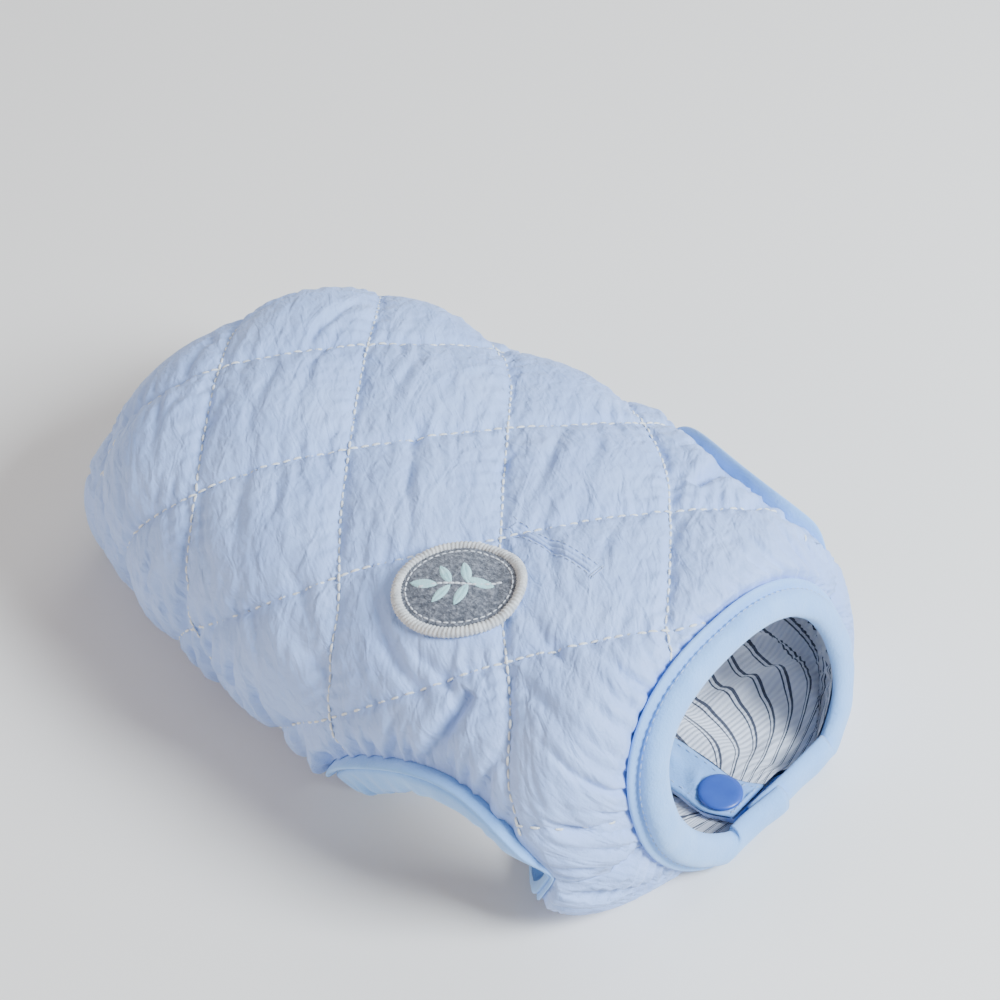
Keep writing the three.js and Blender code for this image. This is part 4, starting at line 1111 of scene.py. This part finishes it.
neck_lip_thread = lip_stitches("neck_lip_thread", neck_points, neck_normals, neck_beyond, 3.4, 2.2)
lip_threads = [neck_lip_thread]
for side, side_name in ((-1, "right"), (1, "left")):
    u, w, angle = armhole_curve(side)
    points = look_up(form_points, u, w)
    normals = unit(smooth_along(unit(look_up(form_normals, u, w)), 3, True))
    beyond = directions(points, normals, True)
    visible = (look_up(form_points, u, w)[:, 2] > 12) & (u > 20) & (u < ARMHOLE["rear"] - 4)
    visible &= np.sin(angle) > 0
    run = np.roll(np.arange(len(u)), -int(np.argmin(visible)))
    run = run[visible[run]]
    lip_threads.append(
        lip_stitches("armhole_lip_thread_" + side_name, points[run], normals[run], beyond[run], 2.4, 2.55)
    )
print("lip threads:", len(lip_threads))

# %% [markdown]
# ## The patch
# The patch is sewn on beside the centre back. It is a domed oval field that follows the shell, a sprig of
# leaves in satin stitch, and an overlocked rim, whose slanting threads are modelled as ridges. A painted
# patch would be quicker, but raised stitches catch the light as real ones do.

# %% Patch field, leaves and rim
PATCH_U, PATCH_W, PATCH_TURN = 58.5, -26, -0.71
PATCH_LONG, PATCH_WIDE = 17.5, 14.5
PATCH_THICK, RIM_WIDTH = 1.3, 2.4
RIM_RIDGES = 92


def patch_coordinates(along_patch, across_patch):
    c, s = math.cos(PATCH_TURN), math.sin(PATCH_TURN)
    return PATCH_U + along_patch * c - across_patch * s, PATCH_W + along_patch * s + across_patch * c


def flat_shell(u, w):
    """The shell under the patch, pressed smoother by it."""
    total = 0
    for du, dw in ((0, 0), (4, 0), (-4, 0), (0, 4), (0, -4), (3, 3), (-3, -3), (3, -3), (-3, 3)):
        height = look_up(form_points, u + du, w + dw)[..., 2]
        total = total + np.maximum(WALL + puff_height(u + du, w + dw, 50.0, height), 0)
    return total / 9 + 0.75


def patch_point(share, turn, out):
    along_patch = PATCH_LONG * share * np.cos(turn)
    across_patch = PATCH_WIDE * share * np.sin(turn)
    u, w = patch_coordinates(along_patch, across_patch)
    return on_form(u, w, flat_shell(u, w) + out)


spokes = 120
turn = np.linspace(0, 2 * np.pi, spokes, endpoint=False)[None, :]
share = np.concatenate([np.linspace(0.02, 0.9, 26), [0.9]])[:, None]
rise = np.concatenate([np.full(26, PATCH_THICK), [-1.6]])[:, None]
field_points = patch_point(share, turn, rise + 0 * turn)
along_patch = PATCH_LONG * share * np.cos(turn)
across_patch = PATCH_WIDE * share * np.sin(turn)
places = np.stack([along_patch, across_patch], axis=2).reshape(-1, 2)
faces = [tuple(face) for face in grid_faces(27, spokes, close_columns=True)] + [tuple(range(spokes))[::-1]]
patch_field = new_piece("patch_cloth", field_points.reshape(-1, 3), faces, places)
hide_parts("patch_field")

rim_stations, rim_sides = RIM_RIDGES * 6, 12
turn = np.linspace(0, 2 * np.pi, rim_stations, endpoint=False)[:, None]
around = np.linspace(0, 2 * np.pi, rim_sides, endpoint=False)[None, :]
ridge = 1 + 0.09 * np.cos(RIM_RIDGES * turn + 1.1 * around)
across_rim = np.cos(around) * RIM_WIDTH / 2 * ridge / PATCH_WIDE
rim_share = 1 - RIM_WIDTH / 2 / PATCH_WIDE + across_rim
rim_out = 0.5 + (np.sin(around) * 1.35 + 0.35) * ridge
patch_rim = new_piece(
    "patch_rim",
    patch_point(rim_share, turn + 0 * around, rim_out).reshape(-1, 3),
    grid_faces(rim_stations, rim_sides, close_rows=True, close_columns=True),
)
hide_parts("patch_border")
print("patch:", len(patch_field.data.polygons), "and rim:", len(patch_rim.data.polygons), "faces")

# %% A sprig of satin-stitched leaves
LEAVES = [
    # place along and across the patch, direction in degrees, length, width
    (-5.4, 0.2, 20, 7.6, 3.4),
    (-1.6, 3.4, 78, 7.0, 3.2),
    (-0.6, -3.2, -62, 7.0, 3.2),
    (3.6, 3.0, 62, 6.6, 3.0),
    (4.4, -2.6, -46, 6.4, 3.0),
    (9.0, 0.8, 12, 7.4, 3.2),
]


def leaf_mesh():
    vertices, faces, start = [], [], 0
    lengths, widths = 26, 9
    t, s = np.meshgrid(np.linspace(0, 1, lengths), np.linspace(-1, 1, widths), indexing="ij")
    for centre_along, centre_across, direction, length, width in LEAVES:
        half = width / 2 * np.sin(np.pi * t) ** 0.75
        run = (t - 0.5) * length
        side = s * half
        dome = (1 - s**2) * 0.5 + 0.1 * np.cos(2 * np.pi * (run + 0.5 * np.abs(side)) / 0.62) * (1 - s**4)
        vein = 0.28 * np.exp(-((side / 0.22) ** 2))
        c, d = math.cos(math.radians(direction)), math.sin(math.radians(direction))
        u, w = patch_coordinates(centre_along + run * c - side * d, centre_across + run * d + side * c)
        vertices.append(on_form(u, w, flat_shell(u, w) + PATCH_THICK - 0.15 + dome - vein).reshape(-1, 3))
        faces += [tuple(face + start) for face in grid_faces(lengths, widths)]
        start += lengths * widths
    return np.concatenate(vertices), faces


leaf_vertices, leaf_faces = leaf_mesh()
patch_leaves = new_piece("patch_leaves", leaf_vertices, leaf_faces)
stem_t = np.arange(-10, 11, 1.5)
stem_u, stem_w = patch_coordinates(stem_t, 0.35 * np.sin(stem_t / 3))


def on_patch(u, w):
    return on_form(u, w, flat_shell(u, w) + PATCH_THICK)


centres, tangents, normals = stitch_line(stem_u, stem_w, on_patch)
patch_stem = capsules("patch_stem", centres, tangents, normals, 1.8, 0.34)
edge_turn = np.linspace(0, 2 * np.pi, 46, endpoint=False)
edge_u, edge_w = patch_coordinates(PATCH_LONG * 0.78 * np.cos(edge_turn), PATCH_WIDE * 0.76 * np.sin(edge_turn))
centres, tangents, normals = stitch_line(edge_u, edge_w, on_patch)
patch_line = capsules("patch_line", centres, tangents, normals, 1.5, 0.22)
print("leaves:", len(LEAVES))

# %% [markdown]
# ## The leash slit
# A short slit on the centre back lets a leash through. It is a pair of thin lips of the shell's own cloth
# with a dark gap between them, a row of fine stitches on each side and a bartack at its front end.

# %% Slit lips and their stitches
SLIT_FROM, SLIT_TO, SLIT_W = 34, 63, -1
slit_u = np.linspace(SLIT_FROM, SLIT_TO, 60)
slit_share = np.linspace(0, 1, 13)
SLIT_PROFILE_W = (slit_share - 0.5) * 2.8
slit_height = 0.4 * np.abs(np.sin(2 * np.pi * slit_share)) ** 0.6 + 0.05
su, sw = np.meshgrid(slit_u, SLIT_W + SLIT_PROFILE_W, indexing="ij")
ends = ease(np.minimum(su - SLIT_FROM, SLIT_TO - su) / 3)
slit_out = slit_height[None, :] * mix(0.25, 1, ends)
slit_to_edge, slit_side = edge_distances(su, sw)
slit_base = shell_out(su, sw, slit_to_edge, slit_side)
slit_surface = on_form(su, sw, slit_base + slit_out)
slit_lower = on_form(su, sw, slit_base - 0.3)
leash_slit = cloth_piece("leash_slit_lips", slit_surface, slit_lower, np.stack([su, sw], axis=2))
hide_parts("leash_slit")
slit_lines = []
for offset in (-2.0, 2.0):
    u = np.arange(SLIT_FROM - 1, SLIT_TO + 1, 2.2)
    slit_lines.append(stitch_line(u, np.full(len(u), SLIT_W + offset), back_shell, 0.7))
for end_u in (SLIT_FROM - 1,):
    w = SLIT_W + np.linspace(-2.2, 2.2, 8)
    for row in (-0.35, 0.35):
        u = np.full(8, end_u + row)
        slit_lines.append(stitch_line(u, w, back_shell, 0.5))
centres, tangents, normals = join_lines(slit_lines)
slit_thread = capsules("leash_slit_thread", centres + normals * 0.1, tangents, normals, 1.5, 0.2)
print("stitches round the slit:", len(centres))

# %% Stitches on the placket tape: two edge lines and a square by the throat
def on_tape(u, w):
    to_centre = belly_centre(u, 1) - w
    return on_form(u, w, np.full(np.shape(u), -SEAM_GAP - TAPE - 0.1), lap_lift(1, to_centre))


tape_lines = []
for to_centre in (TAPE_WIDTH - LAP - 1.4, -LAP + 1.4):
    u = np.arange(3, 108, 2.3)
    tape_lines.append(stitch_line(u, belly_centre(u, 1) - to_centre, on_tape, 0.8))
square_u, square_w = (1.5, 5.4), (3.6, -7.6)
for to_centre in square_w:
    u = np.arange(square_u[0], square_u[1], 1.3)
    tape_lines.append(stitch_line(u, belly_centre(u, 1) - to_centre, on_tape, 0.5))
for end_u in square_u:
    to_centre = np.linspace(square_w[0], square_w[1], 8)
    u = np.full(8, end_u)
    tape_lines.append(stitch_line(u, belly_centre(u, 1) - to_centre, on_tape, 0.5))
centres, tangents, normals = join_lines(tape_lines)
tape_thread = capsules("tape_thread", centres, tangents, -normals, 1.5, 0.2)
print("stitches on the tape:", len(centres))

# %% [markdown]
# ## Finishes
# Materials are built from expressions: the small class below wraps a socket, so that adding or
# multiplying two values adds the Math node for it. Everything else comes from one method that makes a
# node from its type, its settings and its inputs.

# %% Shader helpers
class Value:
    """A socket in a finish that can stand in an expression."""

    def __init__(self, finish, socket):
        self.finish = finish
        self.socket = socket

    def maths(self, operation, first, second):
        return self.finish.node("ShaderNodeMath", {"operation": operation}, {0: first, 1: second})

    def __add__(self, other):
        return self.maths("ADD", self, other)

    def __radd__(self, other):
        return self.maths("ADD", other, self)

    def __sub__(self, other):
        return self.maths("SUBTRACT", self, other)

    def __rsub__(self, other):
        return self.maths("SUBTRACT", other, self)

    def __mul__(self, other):
        return self.maths("MULTIPLY", self, other)

    def __rmul__(self, other):
        return self.maths("MULTIPLY", other, self)

    def __truediv__(self, other):
        return self.maths("DIVIDE", self, other)

    def __pow__(self, other):
        return self.maths("POWER", self, other)

    def less_than(self, other):
        return self.maths("LESS_THAN", self, other)

    def wrapped(self, period):
        return self.maths("FLOORED_MODULO", self, period)


def linear(red, green, blue):
    """An sRGB colour from 0 to 255 as the linear colour that shaders use."""
    values = [channel / 255 for channel in (red, green, blue)]
    values = [v / 12.92 if v <= 0.04045 else ((v + 0.055) / 1.055) ** 2.4 for v in values]
    return (*values, 1.0)


class Finish:
    """One material, made node by node."""

    def __init__(self, name, **constants):
        self.material = bpy.data.materials.new(name)
        self.material.use_nodes = True
        self.tree = self.material.node_tree
        self.shader = self.tree.nodes["Principled BSDF"]
        for socket, value in constants.items():
            self.shader.inputs[socket.replace("_", " ")].default_value = value

    def node(self, kind, settings=None, inputs=None, output=0):
        made = self.tree.nodes.new(kind)
        for name, value in (settings or {}).items():
            if name == "stops":
                self.set_stops(made.color_ramp, value)
            else:
                setattr(made, name, value)
        for name, value in (inputs or {}).items():
            if isinstance(value, Value):
                self.tree.links.new(value.socket, made.inputs[name])
            else:
                made.inputs[name].default_value = value
        return Value(self, made.outputs[output])

    def set_stops(self, ramp, stops):
        while len(ramp.elements) < len(stops):
            ramp.elements.new(0.5)
        for element, (position, colour) in zip(ramp.elements, stops):
            element.position = position
            element.color = colour

    def cloth_place(self):
        return self.node("ShaderNodeUVMap", {"uv_map": "cloth"})

    def object_place(self):
        return self.node("ShaderNodeTexCoord", output="Object")

    def noise(self, place, scale, detail=3.0, roughness=0.5, distortion=0.0):
        inputs = {"Vector": place, "Scale": scale, "Detail": detail, "Roughness": roughness}
        inputs["Distortion"] = distortion
        return self.node("ShaderNodeTexNoise", None, inputs)

    def ramp(self, value, stops):
        return self.node("ShaderNodeValToRGB", {"stops": stops}, {"Fac": value})

    def blend(self, share, first, second):
        settings = {"data_type": "RGBA"}
        return self.node("ShaderNodeMix", settings, {0: share, 6: first, 7: second}, 2)

    def bump(self, height, distance):
        normal = self.node("ShaderNodeBump", None, {"Strength": 1.0, "Distance": distance, "Height": height})
        self.feed("Normal", normal)

    def feed(self, socket, value):
        self.tree.links.new(value.socket, self.shader.inputs[socket])

    def on(self, slot_name, *pieces):
        for piece in pieces:
            piece.data.materials.clear()
            piece.data.materials.append(self.material)


# %% [markdown]
# ### Shell cloth
# The shell is a thin nylon-like cloth with a washed, papery crinkle: fine, crossing creases that catch
# the light, on a cool light blue. Two layers of stretched noise make the crinkle, and a faint cloudy
# change of colour stands for the cloth's thin and thick places.

# %% Shell finish
shell = Finish("shell_cloth", Roughness=0.6, Sheen_Weight=0.12, Sheen_Roughness=0.45, Specular_IOR_Level=0.35)
place = shell.object_place()
cloudy = shell.noise(place, 45.0, 4.0, 0.6)
shell.feed(
    "Base Color",
    shell.ramp(cloudy, [(0.3, linear(158, 184, 236)), (0.52, linear(167, 193, 243)), (0.75, linear(177, 202, 250))]),
)
cloth = shell.cloth_place()


def streaks(turn, along, across, scale):
    inputs = {"Vector": cloth, "Rotation": (0, 0, turn), "Scale": (along, across, 1.0)}
    return shell.noise(shell.node("ShaderNodeMapping", {"vector_type": "TEXTURE"}, inputs), scale, 2.0, 0.5, 0.5)


crinkle = shell.noise(place, 260.0, 4.0, 0.55, 0.3)
folded = streaks(1.05, 1.7, 0.6, 1.15) + streaks(0.55, 1.5, 0.6, 1.9) * 0.6
weave = shell.noise(place, 1900.0, 2.0, 0.5)
shell.bump(crinkle * 0.25 + folded * 0.75 + weave * 0.04, 0.002)
shell.on("shell", back_panel, *[bpy.data.objects["quilted_chest_" + name] for name in ("right", "left")])
shell.on("shell", leash_slit)
print("shell nodes:", len(shell.tree.nodes))

# %% [markdown]
# ### Jersey bindings
# The bindings are a matt, slightly bluer knit, with a fine fuzz and a soft unevenness made from noise.

# %% Binding finish
jersey = Finish("jersey_binding", Roughness=0.88, Sheen_Weight=0.35, Sheen_Roughness=0.6, Specular_IOR_Level=0.25)
place = jersey.object_place()
tint = jersey.noise(place, 60.0, 3.0, 0.55)
jersey.feed(
    "Base Color", jersey.ramp(tint, [(0.3, linear(128, 180, 242)), (0.7, linear(146, 196, 252))])
)
fuzz = jersey.noise(place, 1500.0, 3.0, 0.6)
soft = jersey.noise(place, 130.0, 3.0, 0.5, 0.6)
jersey.bump(fuzz * 0.25 + soft * 0.6, 0.0008)
jersey.on("binding", neck_binding, hem_binding, *bands.values(), *tapes.values())
print("jersey nodes:", len(jersey.tree.nodes))

# %% [markdown]
# ### Striped lining
# The lining is an off-white cotton with fine ribs and a repeat of one broad and one thin navy line, about
# nine millimetres apart. They are set in cloth coordinates, so that they bend and break with the folds.

# %% Lining finishes, with the stripe's direction for each panel
STRIPE_REPEAT = 0.86
THICK_LINE, THIN_LINE, THIN_PLACE = 0.105, 0.055, 0.2
RIB_REPEAT = 0.11


def lining_finish(name, turn):
    lining = Finish(name, Roughness=0.85, Sheen_Weight=0.2, Sheen_Roughness=0.5, Specular_IOR_Level=0.25)
    place = lining.cloth_place()
    wander = lining.noise(place, 0.35, 2.0) * 0.14
    split = lining.tree.nodes.new("ShaderNodeSeparateXYZ")
    lining.tree.links.new(place.socket, split.inputs[0])
    u, w = Value(lining, split.outputs[0]), Value(lining, split.outputs[1])
    run = u * math.cos(turn) + w * math.sin(turn) + wander
    phase = run.wrapped(STRIPE_REPEAT)
    thick = phase.less_than(THICK_LINE)
    thin = (phase - THIN_PLACE).wrapped(STRIPE_REPEAT).less_than(THIN_LINE)
    line = lining.maximum(thick, thin)
    cross = w * math.cos(turn) - u * math.sin(turn)
    rib = lining.node("ShaderNodeMath", {"operation": "SINE"}, {0: cross * (2 * math.pi / RIB_REPEAT)})
    ground = lining.blend(rib * 0.5 + 0.5, linear(222, 224, 234), linear(236, 238, 245))
    lining.feed("Base Color", lining.blend(line * 0.92, ground, linear(36, 40, 62)))
    lining.bump(rib * 0.25 + lining.noise(place, 40.0, 3.0) * 0.5, 0.0004)
    return lining


def maximum(self, first, second):
    return self.node("ShaderNodeMath", {"operation": "MAXIMUM"}, {0: first, 1: second})


Finish.maximum = maximum
lining_finish("striped_lining_cloth", 1.5).on("lining", linings["back"], linings["left"])
lining_finish("striped_lining_cloth_right", 1.15).on("lining", linings["right"])
print("stripe repeat:", STRIPE_REPEAT * 10, "mm")

# %% [markdown]
# ### Plastic, threads and patch
# The snaps are moulded plastic with a satin gloss. The threads are cream for the quilting and light blue
# for the bindings, and the patch is a dark heather grey with mint leaves and a beige rim.

# %% Snap, thread and patch finishes
snap_plastic = Finish("snap_plastic", Roughness=0.34, Specular_IOR_Level=0.5)
speck = snap_plastic.noise(snap_plastic.object_place(), 220.0, 2.0)
snap_plastic.feed(
    "Base Color", snap_plastic.ramp(speck, [(0.2, linear(50, 82, 168)), (0.8, linear(60, 94, 180))])
)
snap_plastic.on("snap", *snaps)


def thread_finish(name, first, second, slot_name, *pieces):
    finish = Finish(name, Roughness=0.6, Sheen_Weight=0.3, Specular_IOR_Level=0.4)
    place = finish.object_place()
    finish.feed("Base Color", finish.ramp(finish.noise(place, 500.0, 2.0), [(0.3, first), (0.7, second)]))
    finish.bump(finish.noise(place, 2600.0, 2.0), 0.0002)
    finish.on(slot_name, *pieces)


CREAM, WHITE = linear(226, 226, 222), linear(246, 245, 240)
thread_finish("cream_thread", CREAM, WHITE, "shell", quilt_thread, *chest_threads)
thread_finish("blue_thread", linear(150, 178, 216), linear(178, 202, 234), "binding", *lip_threads, tape_thread)
thread_finish("slit_thread", linear(160, 180, 214), linear(186, 202, 230), "shell", slit_thread)
thread_finish("rim_thread", linear(186, 184, 182), linear(222, 219, 214), "patch_border", patch_rim)
thread_finish("leaf_thread", linear(164, 214, 216), linear(196, 234, 234), "patch_field", patch_leaves)
thread_finish("stem_thread", linear(214, 216, 220), linear(236, 236, 238), "patch_field", patch_stem, patch_line)

heather = Finish("heather_field", Roughness=0.95, Sheen_Weight=0.3, Specular_IOR_Level=0.2)
place = heather.object_place()
fleck = heather.noise(place, 900.0, 4.0, 0.7)
heather.feed(
    "Base Color",
    heather.ramp(fleck, [(0.34, linear(70, 72, 80)), (0.5, linear(104, 106, 114)), (0.66, linear(152, 153, 160))]),
)
heather.bump(fleck, 0.0009)
heather.on("patch_field", patch_field)
print("materials:", len(bpy.data.materials))

# %% [markdown]
# ## What each piece follows
# The coat is one rigid body in the frame, and every shown piece is attached to it. The surface of the
# linings, bindings and tapes is printed.

# %% Attaching the pieces and printing their surfaces
def area_of(piece):
    return sum(polygon.area for polygon in piece.data.polygons)


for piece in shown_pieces():
    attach(piece, "root")
for piece in (*linings.values(), neck_binding, hem_binding, *bands.values(), *tapes.values()):
    print(piece.name, "surface:", round(area_of(piece) * 1e4, 1), "cm2")

# %% [markdown]
# ## Camera, floor and light
# The camera stands to the coat's right front and looks down on it, as in the photograph. The light is a
# soft window high beyond the neck, with a weaker fill from the far side and a faint warm glow from low on
# the near side, so that the puffs shade gently and the flank is darker than the top.

# %% Camera
CAMERA_TURN, CAMERA_RISE, CAMERA_AWAY = 40.4, 43.5, 679
TARGET = np.array([0.6 - MIDDLE_X, 21.9 - MIDDLE_Y, 35.6])
turn, rise = math.radians(CAMERA_TURN), math.radians(CAMERA_RISE)
toward = np.array([math.sin(turn) * math.cos(rise), -math.cos(turn) * math.cos(rise), math.sin(rise)])
camera_data = bpy.data.cameras.new("camera")
camera_data.sensor_width = 36
camera_data.lens = 36 * 2358 / 1000
camera = bpy.data.objects.new("camera", camera_data)
camera.location = Vector((TARGET + toward * CAMERA_AWAY) * MM)
camera.rotation_euler = Vector(-toward).to_track_quat("-Z", "Y").to_euler()
bpy.context.scene.collection.objects.link(camera)
bpy.context.scene.camera = camera
print("camera at", [round(value, 3) for value in camera.location])

# %% Floor and lights
floor_mesh = bpy.data.meshes.new("floor")
floor_mesh.from_pydata([(-3, -3, 0), (3, -3, 0), (3, 3, 0), (-3, 3, 0)], [], [(0, 1, 2, 3)])
floor = bpy.data.objects.new("floor", floor_mesh)
bpy.context.scene.collection.objects.link(floor)
floor_finish = Finish("pale_floor", Roughness=0.9, Base_Color=(0.94, 0.87, 0.79, 1))
floor_mesh.materials.append(floor_finish.material)


def soft_light(name, place, aim, size, power, colour):
    data = bpy.data.lights.new(name, "AREA")
    data.size = size
    data.energy = power
    data.color = colour
    light = bpy.data.objects.new(name, data)
    light.location = place
    light.rotation_euler = (Vector(aim) - Vector(place)).to_track_quat("-Z", "Y").to_euler()
    bpy.context.scene.collection.objects.link(light)


soft_light("window", (0.85, 0.25, 0.75), (0, 0, 0.03), 0.45, 30, (0.75, 0.87, 1.0))
soft_light("fill", (-0.2, 1.0, 0.9), (0, 0, 0.03), 0.9, 8, (0.8, 0.9, 1.0))
soft_light("floor_glow", (-0.6, -0.85, 0.28), (0, 0, 0.03), 0.5, 4.5, (1.0, 0.88, 0.8))
world = bpy.data.worlds.new("studio")
world.use_nodes = True
world.node_tree.nodes["Background"].inputs["Color"].default_value = (0.9, 0.925, 1.0, 1)
world.node_tree.nodes["Background"].inputs["Strength"].default_value = 0.42
bpy.context.scene.world = world
print("lights:", len(bpy.data.lights))
